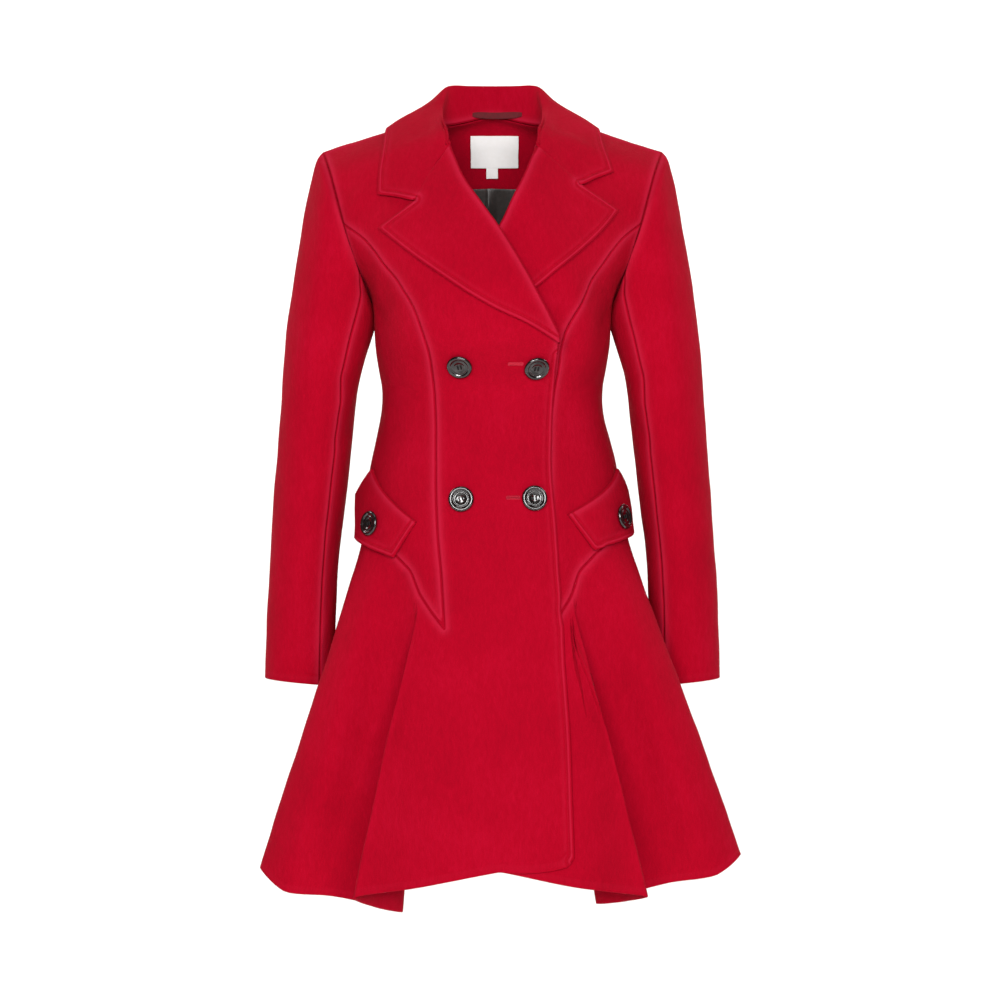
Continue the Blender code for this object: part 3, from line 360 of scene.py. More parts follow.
def ring_point(name, u):
    """Points of the skirt's outline: a round curve through its control points."""
    ring = RINGS[name]
    k = np.clip(np.searchsorted(ring[:, 0], u) - 1, 1, len(ring) - 3)
    points = [ring[k + i, 1:] for i in (-1, 0, 1, 2)]
    steps = [b - a for a, b in zip(points, points[1:])]
    spans = [np.linalg.norm(step, axis=-1, keepdims=True) ** 0.5 for step in steps]
    s = ((u - ring[k, 0]) / (ring[k + 1, 0] - ring[k, 0]))[..., None]
    rates = [step / span for step, span in zip(steps, spans)]
    start = (spans[1] * rates[0] + spans[0] * rates[1]) / (spans[0] + spans[1])
    end = (spans[2] * rates[1] + spans[1] * rates[2]) / (spans[1] + spans[2])
    return cubic(s, points[1], spans[1] * start, points[2], spans[1] * end)


def hem_height(u):
    side, share = half_girth(u)
    right, left = (
        smooth(FOLD_ROWS["share"], FOLD_ROWS[name], share, HEM_STEEPEST)
        for name in ("hem_right", "hem_left")
    )
    return np.where(side < 0, right, left)


def body(u, level, back=False):
    """Points of the coat's outer surface, from the shoulders down to the hem."""
    u, level, back = np.broadcast_arrays(u, np.asarray(level, float), back)
    top = hip_level(u)
    start = trunk(u, np.maximum(level, top), back)
    t = np.maximum((top - level) / (top - HEM), 0.0)[..., None]
    hem_z = hem_height(u)
    half = np.concatenate([ring_point("half", u), (start[..., 2:] + hem_z[..., None]) / 2], -1)
    hem = np.concatenate([ring_point("hem", u), hem_z[..., None]], -1)
    return start * (1 - t) * (1 - 2 * t) + half * 4 * t * (1 - t) + hem * t * (2 * t - 1)


# Steps of u and of level over which the surface's slope is taken.
STEP_ROUND = 0.004
STEP_DOWN = 1.0
SHOULDER_BLEND = 10.0


def side_normal(u, level, back):
    """Outward normals of the front or the back by itself."""
    low, high = u - STEP_ROUND, u + STEP_ROUND
    upper = level > UNDERARM - 1
    low = np.where(upper & ~back, np.maximum(low, -1), low)
    high = np.where(upper & ~back, np.minimum(high, 1), high)
    low = np.where(upper & back & (u > 0), np.maximum(low, 1), low)
    high = np.where(upper & back & (u < 0), np.minimum(high, -1), high)
    top = np.minimum(level + STEP_DOWN, ARMHOLE_TOP)
    hip = hip_level(u)
    crossing = (top > hip) & (hip > level - STEP_DOWN) & (level < hip + 0.01)
    top = np.where(crossing, level, top)
    across = body(high, level, back) - body(low, level, back)
    along = body(u, top, back) - body(u, level - STEP_DOWN, back)
    return unit(np.cross(along, across))


def body_normal(u, level, back=False):
    """Outward normals. Front and back share them along the shoulder seam."""
    u, level, back = np.broadcast_arrays(u, np.asarray(level, float), back)
    normal = side_normal(u, level, back)
    near = ramp((level - ARMHOLE_TOP + SHOULDER_BLEND) / SHOULDER_BLEND)[..., None]
    side = np.sign(u)
    share = np.where(np.abs(u) > 1, 2 * side - u, u)
    opposite = 2 * np.where(share > 0, 1, -1) - share
    both = side_normal(share, level, np.zeros(u.shape, bool))
    both = unit(both + side_normal(opposite, level, np.ones(u.shape, bool)))
    return unit(normal * (1 - near) + both * near)


SPOT_ROUNDS = 30
SPOT_DOWN = -0.5
SPOT_MOST = (0.05, 20.0)  # longest step of a round in u and in level


def spot(x, z, share):
    """(u, level) where the surface has this x and z, near a share of the half girth."""
    u, level = (share if x < 0 else -share), float(z)
    for _ in range(SPOT_ROUNDS):
        at = body(u, level)
        across = (body(u + STEP_ROUND, level) - at) / STEP_ROUND
        along = (body(u, level + SPOT_DOWN) - at) / SPOT_DOWN
        slope = np.array([[across[0], along[0]], [across[2], along[2]]])
        step = np.linalg.solve(slope, np.array([x - at[0], z - at[2]]))
        u += float(np.clip(step[0], -SPOT_MOST[0], SPOT_MOST[0]))
        level += float(np.clip(step[1], -SPOT_MOST[1], SPOT_MOST[1]))
    return u, level


def no_lift(points):
    return np.zeros(points.shape[:-1])


def overlap_x(z):
    """x of the right front's edge, which lies on top, at height z."""
    break_z, top_z = ROLL_RIGHT[0][0], ROLL_RIGHT[-1][0]
    rolled = path_x(ROLL_RIGHT, np.clip(z, break_z, top_z))
    return np.where(z < EDGE_TOP, path_x(FRONT_EDGES, z), rolled)


def underlap_lift(points):
    """The left front dips under the right one, more where its lapel lies between."""
    x, z = points[..., 0], points[..., 2]
    under = ramp(1 - (x - overlap_x(z) - UNDERLAP_PAST) / UNDERLAP_RUN)
    lapel_share = ramp((z - LAPEL_SINK_START) / LAPEL_SINK_RUN)
    return -(UNDERLAP_SINK + LAPEL_SINK * lapel_share) * under


# ---------------- creases

BODICE_CREASES = (  # on the back or not, x and z of both ends, width, height (minus: trough)
    (0, -148, -176, -116, -232, 8, -2.2),
    (0, -136, -190, -122, -262, 7, 1.5),
    (0, -122, -150, -132, -214, 12, 1.6),
    (0, -128, -292, -84, -306, 8, -1.4),
    (0, -124, -322, -76, -318, 9, 1.2),
    (0, -128, -344, -92, -352, 8, -1.2),
    (0, -100, -236, -96, -300, 16, 1.5),
    (0, 150, -176, 120, -232, 8, -2.2),
    (0, 140, -192, 124, -262, 7, 1.5),
    (0, 128, -150, 136, -216, 12, 1.6),
    (0, 128, -290, 92, -304, 8, -1.4),
    (0, 126, -320, 88, -322, 9, 1.2),
    (0, 106, -238, 98, -300, 16, 1.5),
    (0, -30, -300, 34, -306, 15, -0.8),
    (0, -40, -372, 20, -362, 18, 0.8),
    (0, -20, -452, 50, -466, 20, -0.8),
    (0, 60, -290, 20, -332, 12, 0.7),
    (0, -92, -70, -150, -104, 14, -1.0),
    (0, 100, -66, 156, -100, 14, -1.0),
    (0, -150, -64, -160, -110, 10, 1.1),
    (0, 156, -64, 165, -110, 10, 1.1),
    (1, -146, -180, -112, -236, 9, -2.0),
    (1, 148, -180, 114, -238, 9, -2.0),
    (1, -60, -292, 58, -298, 12, -1.6),
    (1, -96, -318, -12, -322, 10, 1.3),
    (1, 92, -320, 14, -314, 10, 1.2),
    (1, -50, -342, 64, -338, 12, -1.2),
    (1, -120, -120, -96, -190, 18, 1.4),
    (1, 122, -118, 98, -188, 18, 1.4),
    (1, -40, -60, 44, -64, 18, -0.8),
)
SKIRT_CREASES = (  # u and share of the drop to the hem, at both ends, width and height
    (0.036, 0.40, 0.001, 1.02, 4, -0.9),
    (0.054, 0.40, 0.020, 1.02, 6, 0.8),
    (0.02, 0.10, 0.05, 0.75, 20, -1.4),
    (0.14, 0.25, 0.19, 0.95, 18, 1.5),
    (-0.13, 0.2, -0.17, 0.95, 18, 1.4),
    (0.62, 0.15, 0.60, 0.8, 14, -1.6),
    (-0.62, 0.18, -0.60, 0.85, 14, -1.6),
    (0.78, 0.1, 0.80, 0.7, 16, 1.4),
    (-0.78, 0.1, -0.81, 0.7, 16, 1.4),
    (1.08, 0.1, 1.10, 0.8, 18, -1.4),
    (-1.08, 0.1, -1.11, 0.8, 18, -1.4),
    (1.75, 0.1, 1.78, 0.9, 16, 1.4),
    (-1.75, 0.15, -1.79, 0.9, 16, 1.4),
    (1.93, 0.2, 1.91, 0.9, 16, -1.5),
    (-1.92, 0.2, -1.90, 0.9, 16, -1.5),
)
EVEN_CREASES = (  # the same on both sides
    (0.30, 0.04, 0.332, 0.62, 7, 1.8),
    (0.348, 0.03, 0.372, 0.55, 6, -2.4),
    (0.44, 0.05, 0.50, 1.06, 30, -12.0),
    (0.25, 0.05, 0.27, 0.6, 12, -1.2),
)
CREASE_POINTS = 9
SKIRT_CREASE_POINTS = 12
CREASE_REACH = 2.6  # in widths
CREASE_ENDS = (0.04, 0.96)
CREASE_TAPER = 0.6
CALM_RADIUS = 22.0  # no unevenness this near the underarm, and all of it
CALM_BLEND = 40.0  # this much further away
RIPPLES = (  # wave lengths along x, y and z, phase and height of the cloth's unevenness
    (95, 140, 210, 0.3, 0.35),
    (-62, 88, 130, 1.9, 0.25),
    (41, -57, 78, 4.1, 0.16),
    (27, 33, -49, 2.6, 0.10),
)


def bodice_crease(behind, x0, z0, x1, z1, width, height):
    """(path on the body, width, height) of a crease."""
    share = np.linspace(0, 1, CREASE_POINTS)
    back = bool(behind)
    u, level = locate(mix(x0, x1, share), mix(z0, z1, share), back)
    return body(u, level, back), width, height


def skirt_crease(u0, t0, u1, t1, width, height):
    share = np.linspace(0, 1, SKIRT_CREASE_POINTS)
    u, t = mix(u0, u1, share), mix(t0, t1, share)
    top = hip_level(u)
    return body(u, mix(top, HEM, t), np.abs(u) > 1), width, height


def crease_height(points, creases):
    """How far the creases raise or lower the cloth at these points."""
    flat = points.reshape(-1, 3)
    total = np.zeros(len(flat))
    for path, width, height in creases:
        reach = CREASE_REACH * width
        near = np.all((flat > path.min(0) - reach) & (flat < path.max(0) + reach), axis=1)
        if not near.any():
            continue
        some = flat[near]
        best = np.full(len(some), 1e9)
        where = np.zeros(len(some))
        for i, (a, b) in enumerate(zip(path, path[1:])):
            way = b - a
            s = np.clip((some - a) @ way / (way @ way), 0, 1)
            gap = np.linalg.norm(some - a - s[:, None] * way, axis=1)
            closer = gap < best
            best = np.where(closer, gap, best)
            where = np.where(closer, (i + s) / (len(path) - 1), where)
        taper = np.sin(np.pi * np.clip(where, *CREASE_ENDS)) ** CREASE_TAPER
        total[near] += height * taper * np.exp(-((best / width) ** 2))
    return total.reshape(points.shape[:-1])


UNDERARM_SPOT = (138.0, 0.0, -210.0)


def ripple_height(points):
    total = np.zeros(points.shape[:-1])
    for x, y, z, phase, height in RIPPLES:
        wave = points[..., 0] / x + points[..., 1] / y + points[..., 2] / z
        total += height * np.sin(2 * np.pi * wave + phase)
    return total


def calm(points):
    """0 at the underarm, where sleeve and body touch, to 1 away from it."""
    place = np.abs(points * (1, 0, 0)) + points * (0, 1, 1)
    return ramp((np.linalg.norm(place - UNDERARM_SPOT, axis=-1) - CALM_RADIUS) / CALM_BLEND)


def unevenness(points, creases):
    """Creases and ripples, which die out where sleeve and body touch."""
    return (crease_height(points, creases) + ripple_height(points)) * calm(points)


BODY_CREASES = [bodice_crease(*row) for row in BODICE_CREASES]
BODY_CREASES += [skirt_crease(*row) for row in SKIRT_CREASES]
for u0, t0, u1, t1, *size in EVEN_CREASES:
    BODY_CREASES += [skirt_crease(side * u0, t0, side * u1, t1, *size) for side in (1, -1)]

# ---------------- materials


def linear(hex_colour):
    """An sRGB hex colour as linear red, green, blue and alpha."""
    values = [int(hex_colour[i : i + 2], 16) / 255 for i in (1, 3, 5)]
    return [v / 12.92 if v <= 0.04045 else ((v + 0.055) / 1.055) ** 2.4 for v in values] + [1.0]


def add(tree, kind, inputs=None, stops=(), **settings):
    """Adds a node with its settings. An input is a value, or another node's output. Stops
    are a ramp's places, each with a hex colour or a grey level."""
    made = tree.nodes.new(kind)
    for name, value in settings.items():
        setattr(made, name, value)
    for name, value in (inputs or {}).items():
        if isinstance(value, bpy.types.NodeSocket):
            tree.links.new(value, made.inputs[name])
        else:
            made.inputs[name].default_value = value
    for i, (place, value) in enumerate(stops):
        band = made.color_ramp.elements
        stop = band[i] if i < 2 else band.new(place)
        stop.position = place
        stop.color = linear(value) if isinstance(value, str) else (value, value, value, 1)
    return made


def new_material(name):
    """(material, node tree) of a new material."""
    made = bpy.data.materials.new(name)
    made.use_nodes = True
    return made, made.node_tree


def dress(made, colour, bump, values):
    """The material with its colour and bump linked and its shader's values set."""
    shader = made.node_tree.nodes["Principled BSDF"]
    made.node_tree.links.new(colour, shader.inputs["Base Color"])
    if bump:
        made.node_tree.links.new(bump.outputs["Normal"], shader.inputs["Normal"])
    for name, value in values.items():
        shader.inputs[name].default_value = value
    return made


WOOL_SHADES = ((0.30, "#95001A"), (0.50, "#A3001D"), (0.70, "#AE0426"))
# Painted highlight on the ridges of the seams' and edges' relief, and painted shade in its
# valleys.
PAINTED_RIDGE_HIGHLIGHT = "#BC1E3C"
PAINTED_VALLEY_SHADE = "#6A000F"
RELIEF_PAINTED_LIGHT = (  # relief where it starts and is full, most of the colour, and the colour
    (1.84, 2.2, 0.6, PAINTED_RIDGE_HIGHLIGHT), (1.74, 1.2, 0.12, PAINTED_VALLEY_SHADE),
)
RELIEF_REACH = 20.0  # a seam or edge shapes the cloth this far in, at most
SEAM_RELIEF = (  # share of the reach, and height: a valley between two soft ridges
    (0.0, 0.1), (0.03, 0.35), (0.07, 0.85), (0.13, 1.0), (0.22, 0.90), (0.42, 0.64), (1.0, 0.6),
)
EDGE_RELIEF = (  # rounded edge, then the valley that the topstitching pulls in
    (0.0, 0.30), (0.06, 0.75), (0.13, 1.0), (0.20, 0.78), (0.275, 0.0), (0.34, 0.55),
    (0.43, 0.74), (0.60, 0.62), (1.0, 0.6),
)
HEM_RELIEF = (  # the turned-up hem shows as a faint line
    (0.0, 0.45), (0.08, 0.65), (0.45, 0.70), (0.56, 0.45), (0.66, 0.66), (1.0, 0.6),
)
RELIEF_DEPTH = 0.8  # millimetres from the lowest to the highest


def wool_coating():
    """Wool melton: woven, then milled until the weave is hidden under a short nap. It
    gives a matt red, a little uneven, with a soft bloom where it turns away. Its seams
    and stitched edges are pressed into valleys and ridges."""
    made, tree = new_material("felted_wool_coating")
    place = add(tree, "ShaderNodeTexCoord").outputs["Object"]
    # The nap is brushed down the cloth, so that its tufts are longer than wide.
    brushed = add(tree, "ShaderNodeMapping", {"Vector": place, "Scale": (1.0, 1.0, 0.4)})
    # Then the slubs where the yarn was thicker, about 4 mm, and slow clouding of the dye,
    # about 70 mm.
    nap, slubs, cloud = (
        add(
            tree, "ShaderNodeTexNoise",
            {"Vector": where, "Scale": scale, "Detail": detail, "Roughness": roughness},
        ).outputs["Fac"]
        for where, scale, detail, roughness in (
            (brushed.outputs["Vector"], 1100.0, 5.0, 0.7),
            (brushed.outputs["Vector"], 240.0, 4.0, 0.6),
            (place, 14.0, 2.0, 0.5),
        )
    )
    fine = add(tree, "ShaderNodeMath", {0: nap, 1: slubs}, operation="ADD")
    tone = add(tree, "ShaderNodeMath", {0: fine.outputs[0], 1: cloud}, operation="ADD")
    tone = add(tree, "ShaderNodeMath", {0: tone.outputs[0], 1: 0.3333}, operation="MULTIPLY")
    colour = add(tree, "ShaderNodeValToRGB", {"Fac": tone.outputs[0]}, WOOL_SHADES)
    heights = []
    for name, relief in (("seam", SEAM_RELIEF), ("edge", EDGE_RELIEF), ("hem", HEM_RELIEF)):
        away = add(tree, "ShaderNodeAttribute", attribute_name=name).outputs["Fac"]
        share = add(tree, "ShaderNodeMath", {0: away, 1: RELIEF_REACH}, operation="DIVIDE")
        height = add(tree, "ShaderNodeValToRGB", {"Fac": share.outputs[0]}, relief)
        height.color_ramp.interpolation = "B_SPLINE"
        heights.append(height.outputs["Color"])
    both = add(tree, "ShaderNodeMath", {0: heights[0], 1: heights[1]}, operation="ADD")
    total = add(tree, "ShaderNodeMath", {0: both.outputs[0], 1: heights[2]}, operation="ADD")
    # Painted highlight on the ridges, which are made lighter, and painted shade where the cloth
    # is pressed into valleys, which are made darker.
    shaded = colour.outputs["Color"]
    for start, end, most, other in RELIEF_PAINTED_LIGHT:
        share = add(
            tree, "ShaderNodeMapRange",
            {"Value": total.outputs[0], "From Min": start, "From Max": end, "To Max": most},
        )
        shaded = add(
            tree, "ShaderNodeMix", {0: share.outputs["Result"], 6: shaded, 7: linear(other)},
            data_type="RGBA",
        ).outputs[2]
    bump = add(
        tree, "ShaderNodeBump",
        {"Height": total.outputs[0], "Strength": 1.0, "Distance": RELIEF_DEPTH * MM},
    )
    for height, strength, depth in ((slubs, 0.45, 1.0), (nap, 0.55, 0.5)):
        bump = add(
            tree, "ShaderNodeBump",
            {
                "Height": height, "Strength": strength, "Distance": depth * MM,
                "Normal": bump.outputs["Normal"],
            },
        )
    return dress(made, shaded, bump, {
        "Roughness": 0.95, "IOR": 1.5, "Specular IOR Level": 0.08,
        "Sheen Weight": 0.05, "Sheen Roughness": 0.45, "Sheen Tint": linear("#E8344A"),
    })


WAVE_SCALE = 0.31  # of a wave that repeats in one length


def woven(name, low, high, thread, roughness, sheen, depth):
    """A woven cloth with threads this far apart, in millimetres, in two hex colours."""
    made, tree = new_material(name)
    place = add(tree, "ShaderNodeTexCoord").outputs["Object"]
    bands = [
        add(
            tree, "ShaderNodeTexWave",
            {"Vector": place, "Scale": WAVE_SCALE / (thread * MM)},
            bands_direction=way,
        ).outputs["Fac"]
        for way in ("X", "Z")
    ]
    weave = add(tree, "ShaderNodeMath", {0: bands[0], 1: bands[1]}, operation="MULTIPLY")
    streak = add(tree, "ShaderNodeTexNoise", {"Vector": place, "Scale": 240.0, "Detail": 3.0})
    tone = add(
        tree, "ShaderNodeMath", {0: weave.outputs[0], 1: streak.outputs["Fac"]}, operation="ADD"
    )
    half = add(tree, "ShaderNodeMath", {0: tone.outputs[0], 1: 0.5}, operation="MULTIPLY")
    colour = add(tree, "ShaderNodeValToRGB", {"Fac": half.outputs[0]}, ((0.2, low), (0.8, high)))
    bump = add(
        tree, "ShaderNodeBump",
        {"Height": weave.outputs[0], "Strength": 0.6, "Distance": depth * MM},
    )
    return dress(
        made, colour.outputs["Color"], bump, {"Roughness": roughness, "Sheen Weight": sheen}
    )


def satin_lining():
    """Viscose satin: long floats on the face give a dark, silky shine."""
    made = woven("viscose_satin_lining", "#2C2826", "#4A4643", 0.5, 0.38, 0.25, 0.05)
    made.node_tree.nodes["Principled BSDF"].inputs["Anisotropic"].default_value = 0.5
    return made


def horn_button():
    """Polyester cast to look like dark horn, turned and polished: nearly black, with
    brown streaks under a hard gloss."""
    made, tree = new_material("cast_polyester_button")
    place = add(tree, "ShaderNodeTexCoord").outputs["Object"]
    streaks = add(
        tree, "ShaderNodeTexNoise",
        {"Vector": place, "Scale": 130.0, "Detail": 6.0, "Distortion": 1.6},
    )
    colour = add(
        tree, "ShaderNodeValToRGB", {"Fac": streaks.outputs["Fac"]},
        ((0.35, "#0A0607"), (0.6, "#180E0D"), (0.78, "#33201C")),
    )
    scratches = add(tree, "ShaderNodeTexNoise", {"Vector": place, "Scale": 500.0, "Detail": 2.0})
    bump = add(
        tree, "ShaderNodeBump",
        {"Height": scratches.outputs["Fac"], "Strength": 0.08, "Distance": 0.0001},
    )
    return dress(made, colour.outputs["Color"], bump, {
        "Roughness": 0.22, "IOR": 1.55, "Coat Weight": 0.6, "Coat Roughness": 0.08,
    })


def spun_thread(name, low, high):
    """Spun polyester sewing thread: two plies, faintly shiny."""
    made, tree = new_material(name)
    place = add(tree, "ShaderNodeTexCoord").outputs["Object"]
    plies = add(tree, "ShaderNodeTexNoise", {"Vector": place, "Scale": 2200.0, "Detail": 2.0})
    colour = add(
        tree, "ShaderNodeValToRGB", {"Fac": plies.outputs["Fac"]}, ((0.3, low), (0.7, high))
    )
    bump = add(
        tree, "ShaderNodeBump",
        {"Height": plies.outputs["Fac"], "Strength": 0.5, "Distance": 0.0001},
    )
    return dress(
        made, colour.outputs["Color"], bump, {"Roughness": 0.7, "Specular IOR Level": 0.2}
    )


WOOL = wool_coating()
SATIN = satin_lining()
TAPE = woven("cotton_twill_tape", "#50040F", "#780A1A", 0.9, 0.85, 0.0, 0.1)
LABEL_WEAVE = woven("woven_label", "#F6F5F2", "#FFFFFF", 0.6, 0.75, 0.1, 0.06)
HORN = horn_button()
RED_THREAD = spun_thread("red_sewing_thread", "#8C001A", "#A80820")
SILK_TWIST = spun_thread("red_buttonhole_twist", "#B0102A", "#D8354C")
BLACK_THREAD = spun_thread("black_sewing_thread", "#0D0B0C", "#2B2729")

# ---------------- cloth pieces

RIM_ROUND = 1.25  # radius of a cloth edge
RIM_TURNS = (30, 60, 90, 120, 150)
SEAM_LAP = 0.3  # neighbours press together along a seam
RIM_SAMPLE = 0.7
RIM_ROOM = 0.33  # the rim moves in by at most this share of the face beside it
SEWN_INSET = 0.4  # a sewn edge is rounded less than a free one,
FLAT_INSET = 0.75  # and one that's pressed flat still less
FAR = 30.0
# Kinds of border: topstitched edge, turned-up hem, armhole, and a seam pressed so flat that
# it's hardly seen. All else is sewn to a neighbour.
EDGE, HEM_EDGE, ARMHOLE, FLAT_SEAM = 1, 2, 4, 8
ARMHOLE_LAP = 6.0  # more where body and sleeve meet in a deep valley under the arm
ALL = slice(None)
BACKWARDS = slice(None, None, -1)


class Patch:
    """A grid of points with normals. borders lists (side, part of it, kind) of its free
    edges, in the order in which they're stitched."""

    def __init__(self, points, normals, borders=()):
        self.points = points
        self.normals = normals
        self.borders = borders
        self.index = None


def from_border(grid, side):
    """The grid turned so that its first row is the border of that name."""
    if side.endswith("column"):
        grid = np.swapaxes(grid, 0, 1)
    return grid[::-1] if side.startswith("last") else grid


def body_patch(u, level, back=False, rise=0.0, lift=no_lift, borders=(), creased=True):
    """A patch on the body's surface, raised off it, with its creases."""
    u, level, rise = np.broadcast_arrays(u, level, np.asarray(rise, float))
    points = body(u, level, back)
    normals = body_normal(u, level, back)
    height = rise + lift(points)
    if creased:
        height = height + unevenness(points, BODY_CREASES)
    return Patch(points + normals * height[..., None], normals, borders)


def grid_normals(points, outward):
    along = np.gradient(points, axis=0)
    across = np.gradient(points, axis=1)
    normals = np.cross(along, across)
    normals /= np.maximum(np.linalg.norm(normals, axis=2, keepdims=True), 1e-9)
    middle = normals[points.shape[0] // 2, points.shape[1] // 2]
    return normals if np.dot(middle, outward) > 0 else -normals


def weld(patches):
    """One list of points for the patches, which gives each its index."""
    points = np.concatenate([p.points.reshape(-1, 3) for p in patches])
    normals = np.concatenate([p.normals.reshape(-1, 3) for p in patches])
    _, first, inverse = np.unique(
        np.round(points, 3), axis=0, return_index=True, return_inverse=True
    )
    inverse = inverse.reshape(-1)
    start = 0
    for patch in patches:
        size = patch.points.shape[0] * patch.points.shape[1]
        patch.index = inverse[start : start + size].reshape(patch.points.shape[:2])
        start += size
    return points[first], normals[first]


def faces_of(patch, points, normals):
    """Quads of a patch, facing out, and triangles where a side shrinks to a point."""
    i = patch.index
    quads = np.stack([i[:-1, :-1], i[:-1, 1:], i[1:, 1:], i[1:, :-1]], -1).reshape(-1, 4)
    middle = quads[len(quads) // 2]
    a, b, c = points[middle[:3]]
    if np.dot(np.cross(b - a, c - a), normals[middle[0]]) < 0:
        quads = quads[:, ::-1]
    faces = []
    for quad in quads.tolist():
        loop = list(dict.fromkeys(quad))
        if len(loop) > 2:
            faces.append(loop)
    return faces


def rim_edges(faces):
    """Edges that only one face has, in that face's order."""
    used = set()
    for face in faces:
        used.update(zip(face, face[1:] + face[:1]))
    return np.array([edge for edge in used if edge[::-1] not in used])


def rim_inset(points, normals, faces, rim):
    """How far and which way the rim moves in, so that its edge can be rounded."""
    inward = np.zeros(points.shape)
    step = points[rim[:, 1]] - points[rim[:, 0]]
    for end in (0, 1):
        way = np.cross(normals[rim[:, end]], step)
        way /= np.maximum(np.linalg.norm(way, axis=1, keepdims=True), 1e-9)
        np.add.at(inward, rim[:, end], way)
    length = np.linalg.norm(inward, axis=1, keepdims=True)
    inward = np.where(length > 0, inward / np.maximum(length, 1.1) ** 2 * 2, 0)
    on_rim = np.zeros(len(points), bool)
    on_rim[rim.reshape(-1)] = True
    room = np.full(len(points), 1e9)
    for face in faces:
        for a, b in zip(face, face[1:] + face[:1]):
            if on_rim[a] != on_rim[b]:
                near = a if on_rim[a] else b
                room[near] = min(room[near], math.dist(points[a], points[b]))
    return inward, np.minimum(RIM_ROUND, RIM_ROOM * room)


def rim_distance(points, rim):
    """Each point's distance to the rim, or FAR if that is nearer."""
    if not len(rim):
        return np.full(len(points), FAR)
    a, b = points[rim[:, 0]], points[rim[:, 1]]
    counts = np.maximum((np.linalg.norm(b - a, axis=1) / RIM_SAMPLE).astype(int), 1)
    samples = [
        start + (end - start) * np.arange(count)[:, None] / count
        for start, end, count in zip(a, b, counts)
    ]
    samples = np.concatenate(samples)
    tree = KDTree(len(samples))
    for i, sample in enumerate(samples):
        tree.insert(sample, i)
    tree.balance()
    return np.minimum([tree.find(p)[2] for p in points], FAR)


def cloth_piece(name, patches, thickness=CLOTH, finish=WOOL):
    """A cloth wall under the patches, with round edges, that replaces the node."""
    points, normals = weld(patches)
    faces = []
    kinds = np.zeros(len(points), int)
    for patch in patches:
        faces += faces_of(patch, points, normals)
        for side, part, kind in patch.borders:
            kinds[from_border(patch.index, side)[0][part]] |= kind
    rim = rim_edges(faces)
    rim_kinds = kinds[rim[:, 0]] & kinds[rim[:, 1]]
    distances = {
        "seam": rim_distance(points, rim[rim_kinds & ~ARMHOLE == 0]),
        "edge": rim_distance(points, rim[rim_kinds & EDGE > 0]),
        "hem": rim_distance(points, rim[rim_kinds & HEM_EDGE > 0]),
    }
    inward, inset = rim_inset(points, normals, faces, rim)
    ends = np.unique(rim)
    moved = points.copy()
    kinds = kinds[ends]
    free = kinds & (EDGE | HEM_EDGE)
    inset[ends] *= np.where(free, 1, SEWN_INSET) * np.where(kinds & FLAT_SEAM, FLAT_INSET, 1)
    lap = np.where(free, 0, SEAM_LAP)
    lap = lap + ARMHOLE_LAP * (1 - calm(points[ends])) * (kinds & ARMHOLE > 0)
    moved[ends] += inward[ends] * (inset[ends] - lap)[:, None]
    count = len(moved)
    round_of = {end: i for i, end in enumerate(ends.tolist())}
    rows = [moved, moved - normals * thickness]
    for turn in RIM_TURNS:
        out = math.sin(math.radians(turn))
        down = (1 - math.cos(math.radians(turn))) / 2
        row = moved[ends] - inward[ends] * (inset[ends] * out)[:, None]
        rows.append(row - normals[ends] * (thickness * down))
    solid = list(faces)
    solid += [[i + count for i in reversed(face)] for face in faces]
    rings = [lambda i: i]
    for k in range(len(RIM_TURNS)):
        rings.append(lambda i, k=k: 2 * count + k * len(ends) + round_of[i])
    rings.append(lambda i: i + count)
    for a, b in rim.tolist():
        for low, high in zip(rings, rings[1:]):
            solid.append([low(b), low(a), high(a), high(b)])
    obj = new_object(name, np.concatenate(rows), solid, finish)
    for kind, distance in distances.items():
        round_rim = [distance[ends]] * len(RIM_TURNS)
        add_values(obj, kind, np.concatenate([distance, np.full(count, FAR), *round_rim]))
    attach(obj, "root")
    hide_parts(name)
    add_stitching(name, patches, moved, normals, distances["edge"])


STITCH_INSET = 5.5
STITCH_PITCH = 3.3
STITCH_SHAPE = ((-1.3, 0.0), (-1.15, 0.12), (-0.6, 0.2), (0.6, 0.2), (1.15, 0.12), (1.3, 0.0))
STITCH_SIDES = 6
STITCH_HEIGHT = -0.08


def stitch_path(patches, points, normals, edge):
    """(points, normals) of the line that lies STITCH_INSET in from the free edges."""
    path, ups = [], []
    for patch in patches:
        for side, part, kind in patch.borders:
            if kind != EDGE:
                continue
            index = from_border(patch.index, side)[:, part]
            inside = edge[index] > STITCH_INSET
            for column in range(index.shape[1]):
                if not inside[:, column].any() or inside[0, column]:
                    continue
                k = int(np.argmax(inside[:, column]))
                low, high = index[k - 1, column], index[k, column]
                share = (STITCH_INSET - edge[low]) / (edge[high] - edge[low])
                path.append(mix(points[low], points[high], share))
                ups.append(mix(normals[low], normals[high], share))
    return np.array(path), np.array(ups)


def add_stitching(name, patches, points, normals, edge):
    """A row of single stitches along a piece's free edges, as a list of pieces."""
    path, ups = stitch_path(patches, points, normals, edge)
    if len(path) < 2:
        return []
    points, faces = stitches_along(path, ups)
    row = new_object(f"{name}_stitching", points, faces, RED_THREAD)
    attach(row, "root")
    return [row]


